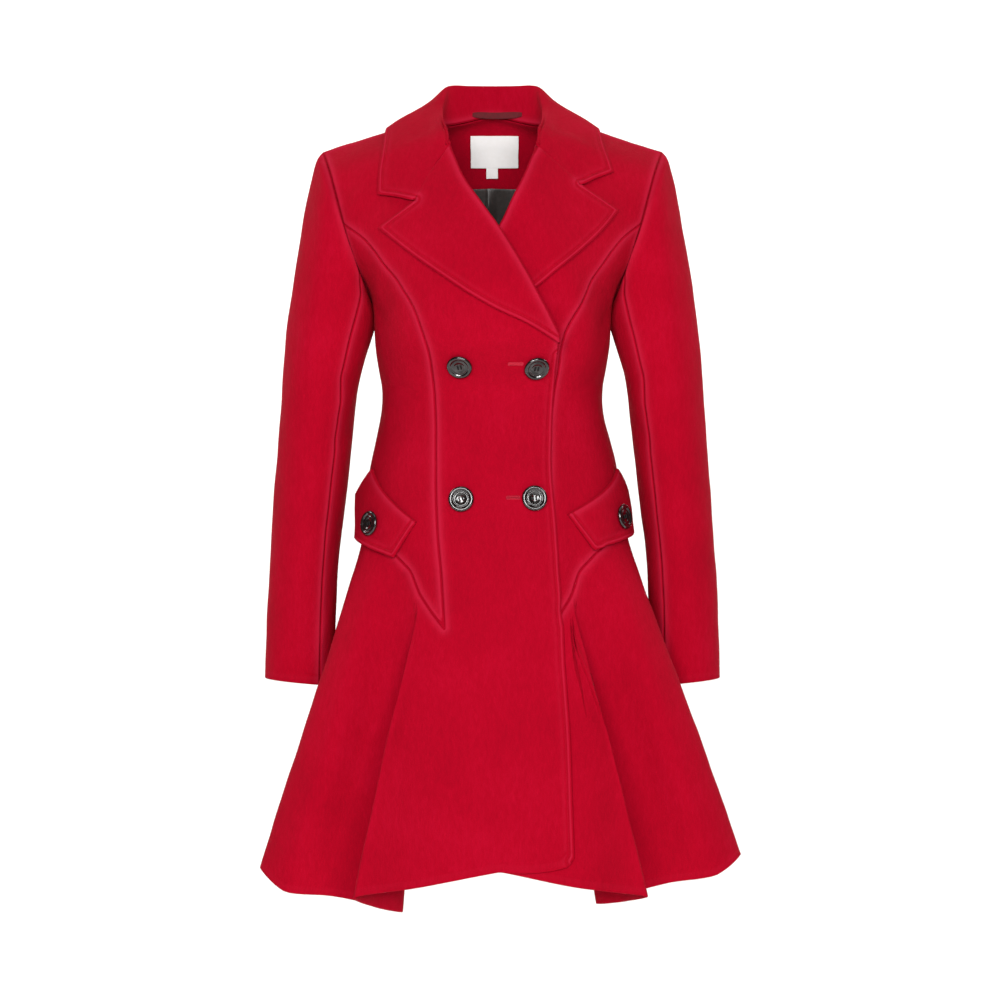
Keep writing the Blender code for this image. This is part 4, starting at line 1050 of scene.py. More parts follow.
def stitches_along(path, ups):
    """(points, faces) of a row of stitches on the path."""
    way = distance_along(path)
    places = np.arange(STITCH_PITCH / 2, way[-1], STITCH_PITCH)
    centres, ahead, normal = (
        np.stack([np.interp(where, way, rows[:, k]) for k in range(3)], axis=1)
        for where, rows in ((places, path), (places + 0.5, path), (places, ups))
    )
    along = ahead - centres
    keep = np.linalg.norm(along, axis=1) > 1e-6
    centres, along, normal = centres[keep], unit(along[keep]), unit(normal[keep])
    across = np.cross(normal, along)
    turns = circle(STITCH_SIDES)
    parts = []
    for centre, way_on, up, side in zip(centres, along, normal, across):
        ring = np.cos(turns)[:, None] * side + np.sin(turns)[:, None] * up
        rows = [
            centre + up * STITCH_HEIGHT + way_on * reach + ring * radius
            for reach, radius in STITCH_SHAPE
        ]
        parts.append((np.concatenate(rows), ring_faces(len(STITCH_SHAPE), STITCH_SIDES)))
    return joined(parts)


def ring_faces(rings, sides):
    """Quads between rings of points."""
    faces = []
    for k in range(rings - 1):
        for i in range(sides):
            j = (i + 1) % sides
            faces.append([k * sides + i, k * sides + j, (k + 1) * sides + j, (k + 1) * sides + i])
    return faces


def joined(parts):
    """(points, faces) of all the parts together."""
    points, faces, start = [], [], 0
    for some, loops in parts:
        points.append(np.asarray(some))
        faces += [[i + start for i in loop] for loop in loops]
        start += len(some)
    return np.concatenate(points), faces


def into_scene(name, data):
    obj = bpy.data.objects.new(name, data)
    bpy.context.scene.collection.objects.link(obj)
    return obj


def new_object(name, points, faces, finish):
    """A smooth mesh object from points in millimetres."""
    mesh = bpy.data.meshes.new(name)
    mesh.from_pydata((np.asarray(points) * MM).tolist(), [], faces)
    mesh.materials.append(finish)
    mesh.shade_smooth()
    mesh.update()
    return into_scene(name, mesh)


def add_values(obj, name, values):
    attribute = obj.data.attributes.new(name, "FLOAT", "POINT")
    attribute.data.foreach_set("value", np.asarray(values, np.float32))


# ---------------- fronts, sides and backs

FRONT_SHARES = (
    FRONT_JUNCTION, 0.265, 0.30, 0.32, 0.335, 0.348, 0.36, 0.377, 0.395, 0.43,
    0.48, 0.54, 0.60, 0.66, 0.71, 0.77, 0.85, 0.93, 1.0,
)
BACK_SHARES = (
    1.0, 1.07, 1.15, 1.22, 1.28, 1.33, 1.38, 1.44, 1.50, 1.55, 1.59, 1.62,
    1.645, 1.665, 1.68, 1.70, 1.72, 1.75, BACK_JUNCTION,
)
ROW_STEPS = 6  # fine rows to one row of the solids
SHARE_STEPS = 4
SKIRT_ROWS = 64
FRONT_COLUMNS = 38
BACK_COLUMNS = 20
SIDE_STEP = 3
SIDE_PULL = 4.0  # rows over which a side panel bends to the hip seam
SIDE_POWER = 1.5
TRUNK_EDGE = (-535, -503, -471, -440, -408, -378, -348, -318, -290, -262)
ROLL_LEVELS = (-242, -212, -184, -158, -134, -112, -90, -68, -46, -25)
NECK_EDGE = (-5, 58)  # height, and distance to one side
BACK_EDGE = (-236, -208, -184, -160, -136, -112, -90, -70)
CLOSER = 0.4  # how much closer rows lie at the hem, and columns at the front edge


def closing(count):
    """Shares from 0 to 1 in steps that grow."""
    share = np.linspace(0, 1, count + 1)
    return share - CLOSER * share * (1 - share)


SKIRT_LEVELS = mix(HEM, JUNCTION, closing(SKIRT_ROWS))
SKIRT_DROPS = 1 - closing(SKIRT_ROWS)


NECK_SHARE = float(
    bisect(0.0, 1.0, FINE_ROUNDS, lambda u: -trunk(u, ARMHOLE_TOP, False)[0] < NECK_POINT)
)
EDGE_REACH = 0.30  # both front edges lie within this u of centre front


def across_at(x, level):
    """u on the front where the body's x at these levels is the one given."""
    reach = np.full(x.shape, EDGE_REACH)
    return bisect(-reach, reach, FINE_ROUNDS, lambda u: body(u, level)[..., 0] > x)


def pairs(u, level):
    """u and level side by side, in one array."""
    return np.stack(np.broadcast_arrays(u, level), axis=-1)


def front_edge_path(side):
    """(u, level) up the front edge, the roll line and the neck, from hem to shoulder."""
    column, roll = (1, ROLL_RIGHT) if side > 0 else (2, ROLL_LEFT)
    skirt_x = side * path_x(FRONT_EDGES, SKIRT_LEVELS, column)
    skirt = pairs(across_at(skirt_x, SKIRT_LEVELS), SKIRT_LEVELS)
    trunk_z, roll_z = np.array(TRUNK_EDGE), np.array(ROLL_LEVELS)
    neck_z, neck_x = NECK_EDGE
    trunk_x = side * path_x(FRONT_EDGES, trunk_z, column)
    x = np.concatenate([trunk_x, path_x(roll, roll_z), [-side * neck_x]])
    z = np.concatenate([trunk_z, roll_z, [neck_z]])
    upper = pairs(*locate(x, z))
    upper = np.concatenate([skirt[-1:], upper, [[side * NECK_SHARE, ARMHOLE_TOP]]])
    corners = (len(TRUNK_EDGE), len(TRUNK_EDGE) + len(ROLL_LEVELS))
    return skirt, finer(upper, ROW_STEPS, corners)


def princess_path(side, back):
    """(u, level) up the princess seam, from the junction to the armhole."""
    table = np.array(PRINCESS[::-1], float)
    column = 3 if back else 1 if side > 0 else 2
    path = pairs(*locate(-side * table[:, column], table[:, 0], back))
    path[0] = side * (BACK_JUNCTION if back else FRONT_JUNCTION), JUNCTION
    path = np.concatenate([path, [[side * 1.0, PRINCESS_START]]])
    return finer(path, ROW_STEPS)


def back_edge_path(side):
    """(u, level) up the centre back and along the neck to the shoulder seam."""
    skirt = pairs(side * 2.0, SKIRT_LEVELS)
    levels = np.concatenate([[JUNCTION], TRUNK_EDGE, BACK_EDGE])
    upper = pairs(side * 2.0, levels)
    neck = np.array([neck_curve(side, angle) for angle in (0, 30, 60, 90)])
    return skirt, finer(np.concatenate([upper, neck]), ROW_STEPS, (len(levels),))


def neck_curve(side, degrees):
    """(u, level) on the back neck: 0 at the centre, 90 at the shoulder seam."""
    turn = math.radians(degrees)
    return (
        side * (2 - NECK_SHARE * math.sin(turn)),
        mix(ARMHOLE_TOP, BACK_NECK, math.cos(turn)),
    )


def with_corner(keys):
    """The right front's keys, with the hem rising to the overlap's rounded corner."""
    u, level = keys[..., 0], keys[..., 1]
    out = np.maximum(-u, 0) / CORNER_SHARE
    drop = np.clip((JUNCTION - level) / (JUNCTION - HEM), 0, 1)
    level = level + CORNER_RISE * out**CORNER_POWER * drop
    points = body(u, level)
    reach = [distance_along(points, axis) for axis in (1, 0)]
    from_edge, from_hem = (np.clip(1 - way / CORNER_RADIUS, 0, 1) for way in reach)
    both = np.maximum(np.hypot(from_edge, from_hem), 1e-9)
    pull = CORNER_RADIUS * (1 - np.maximum(from_edge, from_hem) / both)
    rate = (u[:, 1] - u[:, 0]) / reach[0][:, 1]
    return pairs(u + pull * from_edge * rate[:, None], level + pull * from_hem)


def main_panel(side, back, edge, princess, name, lift, borders):
    """A front or back, with the skirt's side cut in one with it."""
    shares = np.array(BACK_SHARES[::-1] if back else FRONT_SHARES)
    shares = finer(shares, SHARE_STEPS)
    columns = BACK_COLUMNS if back else FRONT_COLUMNS
    skirt, upper = edge
    armhole = [v for v in reversed(ARMHOLE_LEVELS) if v > PRINCESS_START]
    armhole = finer(pairs(side * 1.0, [PRINCESS_START, *armhole]), ROW_STEPS)
    left = np.concatenate([skirt, upper[1:]])
    middle = pairs(side * shares[0], SKIRT_LEVELS)
    right = np.concatenate([middle, princess[1:], armhole[1:]])
    keys = mix(left[:, None], right[:, None], closing(columns)[:, None])
    if name == "front_right":
        keys = with_corner(keys)
    strip = body_patch(keys[..., 0], keys[..., 1], back, 0, lift, borders[0])
    u = side * shares[None, :]
    level = mix(hip_level(u), HEM, SKIRT_DROPS[:, None])
    skirt = body_patch(u, level, back, 0, lift, borders[1])
    cloth_piece(name, [strip, skirt])


def side_panel(side, back, princess, name, lift):
    """The panel between princess seam and side seam, down to the hip seam."""
    shares = np.array(BACK_SHARES[::-1] if back else FRONT_SHARES)[::SIDE_STEP]
    spread = finer((shares - shares[0]) / (shares[-1] - shares[0]), SHARE_STEPS)
    left = princess[::-1]
    right = finer(pairs(side * 1.0, [PRINCESS_START, *SIDE_LEVELS]), ROW_STEPS)
    keys = mix(left[:, None], right[:, None], spread[:, None])
    u, level = keys[..., 0], keys[..., 1]
    rows_up = np.arange(len(left))[::-1, None] / ROW_STEPS
    pull = np.clip(1 - rows_up / SIDE_PULL, 0, 1) ** SIDE_POWER
    level = level + (hip_level(u[-1]) - level[-1]) * pull
    armhole = (SIDE_LEVELS.index(int(UNDERARM)) + 1) * ROW_STEPS
    borders = (("last_column", slice(0, armhole + 1), ARMHOLE),)
    cloth_piece(name, [body_patch(u, level, back, 0, lift, borders)])


BREAK_ROW = SKIRT_ROWS + len(TRUNK_EDGE) * ROW_STEPS


def build_body():
    hem = ("first_row", ALL, HEM_EDGE)
    edge = ("first_column", slice(0, BREAK_ROW + 1), EDGE)
    for side, word in ((1, "right"), (-1, "left")):
        lift = no_lift if side > 0 else underlap_lift
        path = front_edge_path(side)
        princess = princess_path(side, False)
        main_panel(side, False, path, princess, f"front_{word}", lift, ((hem, edge), (hem,)))
        side_panel(side, False, princess, f"side_front_{word}", lift)
        path = back_edge_path(side)
        princess = princess_path(side, True)
        main_panel(side, True, path, princess, f"back_{word}", no_lift, ((hem,), (hem,)))
        side_panel(side, True, princess, f"side_back_{word}", no_lift)


# ---------------- sleeves

SLEEVE = (  # x and z of the outer and inner line, y of the middle, half the depth
    (201, -32, 137.2, -202.5, 3, 62),
    (208, -56, 134.4, -209, 3, 63),
    (214, -85, 134.2, -220, 2, 62),
    (221, -125, 139.4, -240, 1, 60),
    (228, -171, 147, -264, 0, 57),
    (235, -225, 153.5, -290, 0, 54),
    (240, -285, 158, -322, 2, 54),
    (244.5, -340, 162, -362, 4, 54),
    (248, -385, 166, -398, 6, 54),
    (251.5, -424, 170, -432, 7, 53),
    (255.5, -482, 176.5, -486, 8, 50),
    (259, -539, 180, -542, 8, 45.5),
    (261, -588, 181, -594, 8, 43),
    (262, -629, 182, -637, 8, 42),
)
SLEEVE_SQUARE = 2.15
FRONT_SLEEVE_SEAM = 7
BACK_SLEEVE_SEAM = 13
LOOP_STEPS = 5
SLEEVE_STEPS = 7
ARMHOLE_BLEND = 2.0  # rings over which the sleeve takes over the body's creases
ARMHOLE_RISE = SEAM_GAP * 1.5
# The sleeve's first ring faces as the body does where it leaves the body flatly, and its
# own way where it stands up from it: share of its direction that points off the body.
VALLEY_START = -0.05
VALLEY_RUN = 0.4
SLEEVE_CREASES = (  # angle round the sleeve and share of its length, from and to
    (150, 0.06, 70, 0.30, 9, -2.0),
    (120, 0.05, 50, 0.22, 10, 1.6),
    (60, 0.08, 75, 0.48, 13, 2.2),
    (30, 0.06, 40, 0.30, 15, -1.2),
    (165, 0.42, 100, 0.46, 9, -2.0),
    (160, 0.47, 95, 0.53, 9, 1.7),
    (168, 0.54, 110, 0.58, 9, -1.8),
    (100, 0.60, 85, 0.90, 14, 1.3),
    (200, 0.10, 280, 0.26, 11, -1.8),
    (240, 0.40, 300, 0.46, 12, -1.5),
    (250, 0.48, 310, 0.52, 12, 1.3),
    (280, 0.60, 270, 0.92, 15, 1.2),
    (0, 0.30, 10, 0.75, 16, 1.0),
)


def armhole_loop(side):
    """(points, normals) round the armhole: down the front and up the back."""
    levels = finer(np.array(ARMHOLE_LEVELS, float), LOOP_STEPS)
    levels = np.concatenate([levels, levels[-2::-1]])
    back = np.arange(len(levels)) > len(levels) // 2
    return body(side * 1.0, levels, back), body_normal(side * 1.0, levels, back)


def loop_angles(points):
    """Angle of each point round the sleeve: 0 on top, 180 under the arm."""
    way = distance_along(points)
    under = len(points) // 2
    front = way[: under + 1] / way[under] * math.pi
    back = math.pi + (way[under + 1 :] - way[under]) / (way[-1] - way[under]) * math.pi
    return np.concatenate([front, back])


def sleeve_grid(side):
    """(points, normals) of a whole sleeve, with a row for each ring."""
    loop, loop_normals = armhole_loop(side)
    angles = loop_angles(loop)
    c, s = np.cos(angles), np.sin(angles)
    reach = (np.abs(c) ** SLEEVE_SQUARE + np.abs(s) ** SLEEVE_SQUARE) ** (-1 / SLEEVE_SQUARE)
    share = (1 - c * reach) / 2
    rings = [loop]
    for outer_x, outer_z, inner_x, inner_z, middle_y, depth in SLEEVE:
        x = -side * mix(outer_x, inner_x, share)
        rings.append(np.stack([x, middle_y - depth * s * reach, mix(outer_z, inner_z, share)], 1))
    grid = finer(np.array(rings), SLEEVE_STEPS)
    normals = tube_normals(grid)
    for _ in range(2):
        valley = (unit(grid[2] - grid[0]) * loop_normals).sum(1)
        own = ramp((valley - VALLEY_START) / VALLEY_RUN)[:, None]
        normals[0] = unit(normals[0] * own + loop_normals * (1 - own))
    grid[0] += loop_normals * ARMHOLE_RISE * own
    return grid, normals, angles


def tube_normals(grid):
    """Outward normals of a closed tube of rings."""
    closed = np.concatenate([grid[:, -2:-1], grid, grid[:, 1:2]], axis=1)
    normals = grid_normals(closed, np.array([0.0, -1.0, 0.0]))[:, 1:-1]
    middle = normals.shape[0] // 2
    centre = grid[middle].mean(0)
    if np.dot(normals[middle, 0], grid[middle, 0] - centre) < 0:
        normals = -normals
    return normals


def sleeve_creases(grid, angles):
    """The sleeve's creases as paths on its surface."""
    turns = np.degrees(angles)
    length = grid.shape[0] - 1
    paths = []
    for angle0, down0, angle1, down1, width, height in SLEEVE_CREASES:
        share = np.linspace(0, 1, CREASE_POINTS)
        rows = np.round(mix(down0, down1, share) * length).astype(int)
        where = mix(angle0, angle1, share)
        columns = [int(np.argmin(np.abs(turns - w))) for w in where]
        paths.append((grid[rows, columns], width, height))
    return paths


def build_sleeves():
    for side, word in ((1, "right"), (-1, "left")):
        grid, normals, angles = sleeve_grid(side)
        height = unevenness(grid, sleeve_creases(grid, angles))
        rows = np.arange(grid.shape[0])[:, None]
        away = ramp(rows / (ARMHOLE_BLEND * SLEEVE_STEPS))
        grid = grid + normals * (height * away)[..., None]
        body_height = unevenness(grid[0], BODY_CREASES)
        grid = grid + normals[0] * body_height[:, None] * (1 - away)[..., None]
        own = tube_normals(grid)
        own[0] = normals[0]
        normals = own
        start, end = FRONT_SLEEVE_SEAM * LOOP_STEPS, BACK_SLEEVE_SEAM * LOOP_STEPS
        hem = (("last_row", ALL, HEM_EDGE), ("first_row", ALL, ARMHOLE))
        under = np.arange(start, end + 1)
        top = np.r_[end : grid.shape[1] - 1, 0 : start + 1]
        for place, columns in (("under", under), ("top", top)):
            patch = Patch(grid[:, columns], normals[:, columns], hem)
            cloth_piece(f"{place}_sleeve_{word}", [patch])


# ---------------- lapels and collar

LAPEL_ROWS = 66
LAPEL_COLUMNS = 33
NOTCH_COLUMN = 22
LAPEL_NOTCH_ROWS = 5.5  # rows over which the notch's corner runs out


def along_path(table, share):
    """x and z at shares of the length of a path of (height, distance)."""
    points = np.array([(x, z) for z, x in table], float)
    way = distance_along(points)
    return smooth(way / way[-1], points, share)


def lapel(side, name, top, edge, roll, lift):
    """The turned-back lapel, from the collar seam down to the break."""
    down = np.linspace(0, 1, LAPEL_ROWS + 1)
    out = np.linspace(0, 1, LAPEL_COLUMNS + 1)
    own_roll = [(z, -x * side) for z, x in roll][::-1]
    inner = along_path([(z, x) for z, x in own_roll], down)
    outer = along_path(edge, down)
    points = mix(inner[:, None], outer[:, None], out[:, None])
    runs = np.linspace(0, 1, len(top))
    first = np.stack([
        np.interp(out, runs, [x for _, x in top]), np.interp(out, runs, [z for z, _ in top])
    ], axis=1)
    notch = (1 - ramp(np.arange(LAPEL_ROWS + 1) / LAPEL_NOTCH_ROWS))[:, None, None]
    points = points + (first - points[0]) * notch
    u, level = locate(-side * points[..., 0], points[..., 1])
    borders = (
        ("first_row", slice(NOTCH_COLUMN, None), EDGE), ("last_column", ALL, EDGE),
        ("first_row", slice(0, NOTCH_COLUMN), FLAT_SEAM),
    )
    patch = body_patch(u, level, False, LAPEL_RISE + CLOTH, lift, borders, False)
    cloth_piece(name, [patch])


def build_lapels():
    lapel(1, "lapel_right", LAPEL_TOP_RIGHT, LAPEL_EDGE_RIGHT, ROLL_RIGHT, no_lift)
    lapel(-1, "lapel_left", LAPEL_TOP_LEFT, LAPEL_EDGE_LEFT, ROLL_LEFT, underlap_lift)


# Stations of the collar from the lapel to centre back: x, y and z of the roll, and x and z
# of the leaf's edge.
COLLAR_RIGHT = (
    ((50.0, -77, -24), (127, -83)),
    ((50.5, -68, -11), (127, -55)),
    ((55, -49, 4), (124, -33)),
    ((57, 0, 25), (121, -5)),
)
COLLAR_LEFT = (
    ((52.0, -77, -24), (135, -55)),
    ((51.5, -68, -11), (131, -42)),
    ((55.5, -49, 4), (126, -27)),
    ((57, 0, 25), (121, -5)),
)
COLLAR_BACK = (
    ((56, 20, 43), (117, -5)),
    ((50, 38, 57), (98, -9)),
    ((28, 46, 58.5), (56, -10)),
    ((0, 48, 58.5), (0, -10)),
)
COLLAR_END_RIGHT = ((-30.4, 49.5), (-55, 66.4), (-91.2, 85.4), (-86.5, 107), (-83, 127))
COLLAR_END_LEFT = ((-31.0, 52.5), (-48.6, 72.5), (-73, 96.4), (-64.5, 116), (-56, 135))
NECK_SPOTS = ((47.5, -27), (52, -18), (58, -5))
NECK_ANGLES = (90, 74, 56, 30, 0)
FRONT_STATIONS = 3
SHOULDER_RISE = (1.8, 2.2)
COLLAR_RISE = 2.2
COLLAR_BULGE = 5.0
ROLL_RADIUS = 4.4
ROLL_DROP = 0.8  # how far down the roll its sides lie, in radii
STAND_GAP = 2.75
STAND_SHARES = (0.35, 0.7)
STAND_MIDDLE = 0.55
NECK_MIDDLE = 8.0  # y of the neck's middle
BULGE_SPREAD = 60.0
BULGE_UP = 0.9
LEAF_START = (0.08, 4.2)  # share of the leaf's width at its first point, and rise there
STAND_FOOT = (0.5, 6.0, 0.0)  # from the neck seam at the front
STAND_DROP = 4.0
STATION_STEPS = 9
SECTION_STEPS = 5
NOTCH_ROW = 6 * SECTION_STEPS


def neck_spot(side, station):
    """The neck seam's point under a station of the collar."""
    if station < FRONT_STATIONS:
        x, z = NECK_SPOTS[station]
        return body(*locate(-side * x, z))
    return body(*neck_curve(side, NECK_ANGLES[station - FRONT_STATIONS]), True)


def over_cloth(side, x, z, rise, back=False):
    """The point this far off the cloth."""
    u, level = locate(-side * x, z, back)
    return body(u, level, back) + body_normal(u, level, back) * (CLOTH + rise)


def leaf_in_front(side, station, top, edge):
    """Five points of the leaf where it lies on the front."""
    if station == 0:
        end = COLLAR_END_RIGHT if side > 0 else COLLAR_END_LEFT
        return [over_cloth(side, x, z, LAPEL_RISE) for z, x in end]
    shares = (LEAF_START, *((k / 4, COLLAR_RISE) for k in range(1, 5)))
    return [
        over_cloth(side, mix(top[0], edge[0], share), mix(top[2], edge[1], share), rise)
        for share, rise in shares
    ]


def leaf_behind(side, station, roll, edge):
    """Four points of the leaf where it spans from the roll to its edge."""
    near = station - FRONT_STATIONS
    rise = COLLAR_RISE + (SHOULDER_RISE[near] if near < len(SHOULDER_RISE) else 0)
    end = over_cloth(side, *edge, rise, near > 0)
    away = unit(np.array([roll[0] / BULGE_SPREAD, max(roll[1], 0) / BULGE_SPREAD, BULGE_UP]))
    return [
        mix(roll, end, k / 4) + away * COLLAR_BULGE * math.sin(math.pi * k / 4)
        for k in range(1, 5)
    ]


def collar_section(side, station):
    """Nine points across the collar, from the neck seam over the roll to the edge."""
    top, edge = ((COLLAR_RIGHT if side > 0 else COLLAR_LEFT) + COLLAR_BACK)[station]
    roll = np.array([-side * top[0], top[1], top[2]], float)
    seam = neck_spot(side, station)
    if station < FRONT_STATIONS:
        foot = seam + np.array(STAND_FOOT) * (side, 1, 1)
        stand = [foot, *(mix(foot, roll, share) for share in STAND_SHARES), roll]
        return stand + leaf_in_front(side, station, top, edge)
    leaf = leaf_behind(side, station, roll, edge)
    inward = -np.array([seam[0], seam[1] - NECK_MIDDLE, 0.0])
    foot = seam + unit(inward) * (CLOTH + STAND_GAP)
    foot[2] -= STAND_DROP
    stand, fall = unit(foot - roll), unit(leaf[0] - roll)
    down = unit(stand + fall)
    across = unit(fall - down * np.dot(fall, down))
    inner = roll + (down * ROLL_DROP - across) * ROLL_RADIUS
    outer = roll + (down * ROLL_DROP + across) * ROLL_RADIUS
    return [foot, mix(foot, inner, STAND_MIDDLE), inner, roll, outer] + leaf


def build_collar():
    """The collar in one piece, from the right lapel round to the left."""
    stations = [collar_section(1, k) for k in range(8)]
    stations += [collar_section(-1, k) for k in range(6, -1, -1)]
    sections = np.array(stations)
    grid = finer(sections, STATION_STEPS).transpose(1, 0, 2)
    grid = finer(grid, SECTION_STEPS)
    normals = grid_normals(grid, np.array([0.0, 1.0, 0.5]))
    if normals[-4, grid.shape[1] // 2][1] < 0:
        normals = -normals
    borders = (
        ("first_column", slice(NOTCH_ROW, None), EDGE), ("last_row", ALL, EDGE),
        ("last_column", slice(None, NOTCH_ROW - 1, -1), EDGE),
        ("first_column", slice(0, NOTCH_ROW), FLAT_SEAM),
        ("last_column", slice(0, NOTCH_ROW), FLAT_SEAM),
    )
    cloth_piece("collar", [Patch(grid, normals, borders)])


# ---------------- inside the neck

FACING = 1.6
FACING_SEAT = 2.7
FACING_SHARE = 0.53
FACING_BOTTOM = -115.0
LINING_BOTTOM = -190.0
LINING_REACH = 60.0
PLEAT_DEPTH = 5.0
PLEAT_BACK = 1.4  # angle over which the pleat drops back
PLEAT_TOP = 0.15  # share of the pleat's depth at its top, and how fast it opens below
PLEAT_OPENS = 5.0
LINING_SAG = 1.2
SAG_TURNS = 0.35
PLEAT_HALF = 3.2  # half width of the pleat, as an angle
LABEL = (-27, 31.6, 5, -30)
SIZE_TAB = (-7.8, 6.3, -30.6, -42)
LABEL_CLOTH = 1.0
LABEL_SEAT = 2.4
LOOP = (-23, 34)
LOOP_HEIGHTS = (20.5, 27.6)
LOOP_BOW = 3.5
LOOP_SAG = 1.4
LOOP_TAPER = 0.45
LOOP_CLOTH = 1.2
LOOP_SEAT = -0.1


def neck_turn(degrees):
    """(u, level) of the back neck edge, and of the facing's bottom edge, by angle."""
    turn = np.radians(degrees)
    top = pairs(2 - NECK_SHARE * np.sin(turn), mix(ARMHOLE_TOP, BACK_NECK, np.cos(turn)))
    low = pairs(2 - FACING_SHARE * np.sin(turn), mix(ARMHOLE_TOP, FACING_BOTTOM, np.cos(turn)))
    return top, low


def inner_patch(u, level, rise, borders=()):
    return body_patch(u, level, True, rise, no_lift, borders, False)


def build_facing():
    top, low = neck_turn(np.linspace(-90, 90, 73))
    keys = mix(top, low, np.linspace(0, 1, 19)[:, None, None])
    patch = inner_patch(keys[..., 0], keys[..., 1], -CLOTH - FACING_SEAT)
    cloth_piece("neck_facing", [patch], FACING)


def build_lining():
    """The lining below the facing, with its pleat at centre back for ease."""
    angles = np.concatenate([
        np.linspace(-LINING_REACH, -PLEAT_HALF * 2, 34)[:-1],
        np.linspace(-PLEAT_HALF * 2, PLEAT_HALF * 2, 25),
        np.linspace(PLEAT_HALF * 2, LINING_REACH, 34)[1:],
    ])
    low = neck_turn(angles)[1]
    depth = np.linspace(0, 1, 41)[:, None]
    level = mix(low[:, 1], LINING_BOTTOM, depth)
    # The pleat's fold stands over to one side and drops back sharply on the other.
    rising = ramp((angles + PLEAT_HALF) / (2 * PLEAT_HALF))
    falling = 1 - ramp((angles - PLEAT_HALF) / PLEAT_BACK)
    pleat = PLEAT_DEPTH * np.where(angles < PLEAT_HALF, rising, falling)
    sag = LINING_SAG * np.sin(angles * SAG_TURNS) * np.sin(depth * math.pi)
    opening = np.minimum(depth * PLEAT_OPENS + PLEAT_TOP, 1)
    rise = -CLOTH - FACING_SEAT - pleat * opening - sag
    patch = inner_patch(low[:, 0], level, rise)
    cloth_piece("lining", [patch], LINING, SATIN)


def on_facing(name, extent, columns, rows):
    """A small flat piece on the inside of the neck facing."""
    left, right, top, bottom = extent
    x = np.linspace(left, right, columns + 1)[None, :]
    z = np.linspace(top, bottom, rows + 1)[:, None]
    u, level = locate(x, z, True)
    u = np.where(u > 0, u, u + 4)
    rise = -CLOTH - FACING_SEAT - FACING - LABEL_SEAT
    cloth_piece(name, [inner_patch(u, level, rise)], LABEL_CLOTH, LABEL_WEAVE)


def build_loop():
    """The hanger loop, a folded strap along the stand's foot."""
    feet = [collar_section(1, k)[0] for k in (5, 6, 7)]
    feet += [collar_section(-1, k)[0] for k in (6, 5)]
    feet = np.array(feet)
    share = np.linspace(0, 1, 49)
    x = mix(LOOP[0], LOOP[1], share)
    y = np.interp(x, feet[:, 0], feet[:, 1]) - LOOP_SEAT - LOOP_BOW * np.sin(math.pi * share)
    sag = LOOP_SAG * np.sin(math.pi * share)
    middle, half = sum(LOOP_HEIGHTS) / 2, (LOOP_HEIGHTS[1] - LOOP_HEIGHTS[0]) / 2
    taper = 1 - LOOP_TAPER * np.abs(2 * share - 1) ** 5
    z = middle + half * taper * np.linspace(-1, 1, 9)[:, None] - sag
    grid = np.stack(np.broadcast_arrays(x, y, z), axis=-1)
    normals = grid_normals(grid, np.array([0.0, -1.0, 0.0]))
    patch = Patch(grid + normals * LOOP_CLOTH, normals)
    cloth_piece("hanger_loop", [patch], LOOP_CLOTH, TAPE)


# ---------------- pocket flaps

FLAP = 3.6
FLAP_GAP = 0.6
FLAP_RIGHT = (  # x and z of the seam's ends; x, z and rise of the edge's corners
    ((-134, -389), (-83.5, -449)), ((-145, -419, 9), (-148, -470, 6), (-108, -490, 2.6)),
)
FLAP_LEFT = (
    ((139.5, -389), (84.5, -440)), ((151, -414, 5), (156, -462, 5), (112, -481, 2.6)),
)
FLAPS = (("right", FLAP_RIGHT, no_lift), ("left", FLAP_LEFT, underlap_lift))
FLAP_ROWS = 22
FLAP_COLUMNS = 36
FLAP_SWELL = 1.2


def flap_keys(table, along, down):
    """u, level and rise of the flap's outside at shares along and down it."""
    seam, edge = table
    top = np.array([(*spot(x, z, 0.6), FLAP_GAP) for x, z in seam])
    low = np.array([(*spot(x, z, 0.7), rise) for x, z, rise in edge])
    along, down = np.broadcast_arrays(along, down)
    keys = []
    for k in range(3):
        start = mix(top[0, k], top[1, k], along)
        end = np.interp(along, (0, 0.5, 1), low[:, k])
        keys.append(mix(start, end, down))
    u, level, rise = keys
    return u, level, FLAP + rise


def flap_patch(table, along, down, lift):
    u, level, rise = flap_keys(table, along, down)
    swell = FLAP_SWELL * np.sin(math.pi * along) * np.sin(math.pi * np.minimum(down, 1))
    borders = (
        ("first_column", ALL, EDGE), ("last_row", ALL, EDGE), ("last_column", BACKWARDS, EDGE)
    )
    return body_patch(u, level, False, rise + swell, lift, borders, False)


def build_flaps():
    along = np.linspace(0, 1, FLAP_COLUMNS + 1)[None, :]
    down = np.linspace(0, 1, FLAP_ROWS + 1)[:, None]
    for word, table, lift in FLAPS:
        cloth_piece(f"pocket_flap_{word}", [flap_patch(table, along, down, lift)], FLAP)


# ---------------- buttons

BUTTON_PROFILE = (  # distance from the middle and height: dish, ring, groove, rim, back
    (0.0, 2.35), (3.2, 2.35), (4.6, 2.5), (5.6, 2.9), (6.4, 3.35), (7.2, 3.55), (7.9, 3.45),
    (8.4, 3.05), (8.9, 2.95), (9.5, 3.3), (10.2, 4.0), (11.0, 4.45), (11.9, 4.6),
    (12.8, 4.45), (13.6, 3.9), (14.2, 3.0), (14.3, 2.2), (13.8, 1.2), (12.4, 0.5),
    (10.5, 0.1), (6.0, 0.0), (0.0, 0.0),
)
BUTTON_SIDES = 64
HOLE_RADIUS = 1.15
HOLE_PLACE = 2.5
PIN_HEIGHTS = (-2, 7)  # a hole's pin reaches past both faces
STRANDS = (-0.5, 0.0, 0.5)
STRAND_RADIUS = 0.34
STRAND_TOP = 3.15
SHANK_PLACE = 1.5
SHANK_RADIUS = 0.6
BUTTON_GAP = 0.7
HALF_FRONT = 200.0  # x near the side, from which a spot's u is first guessed
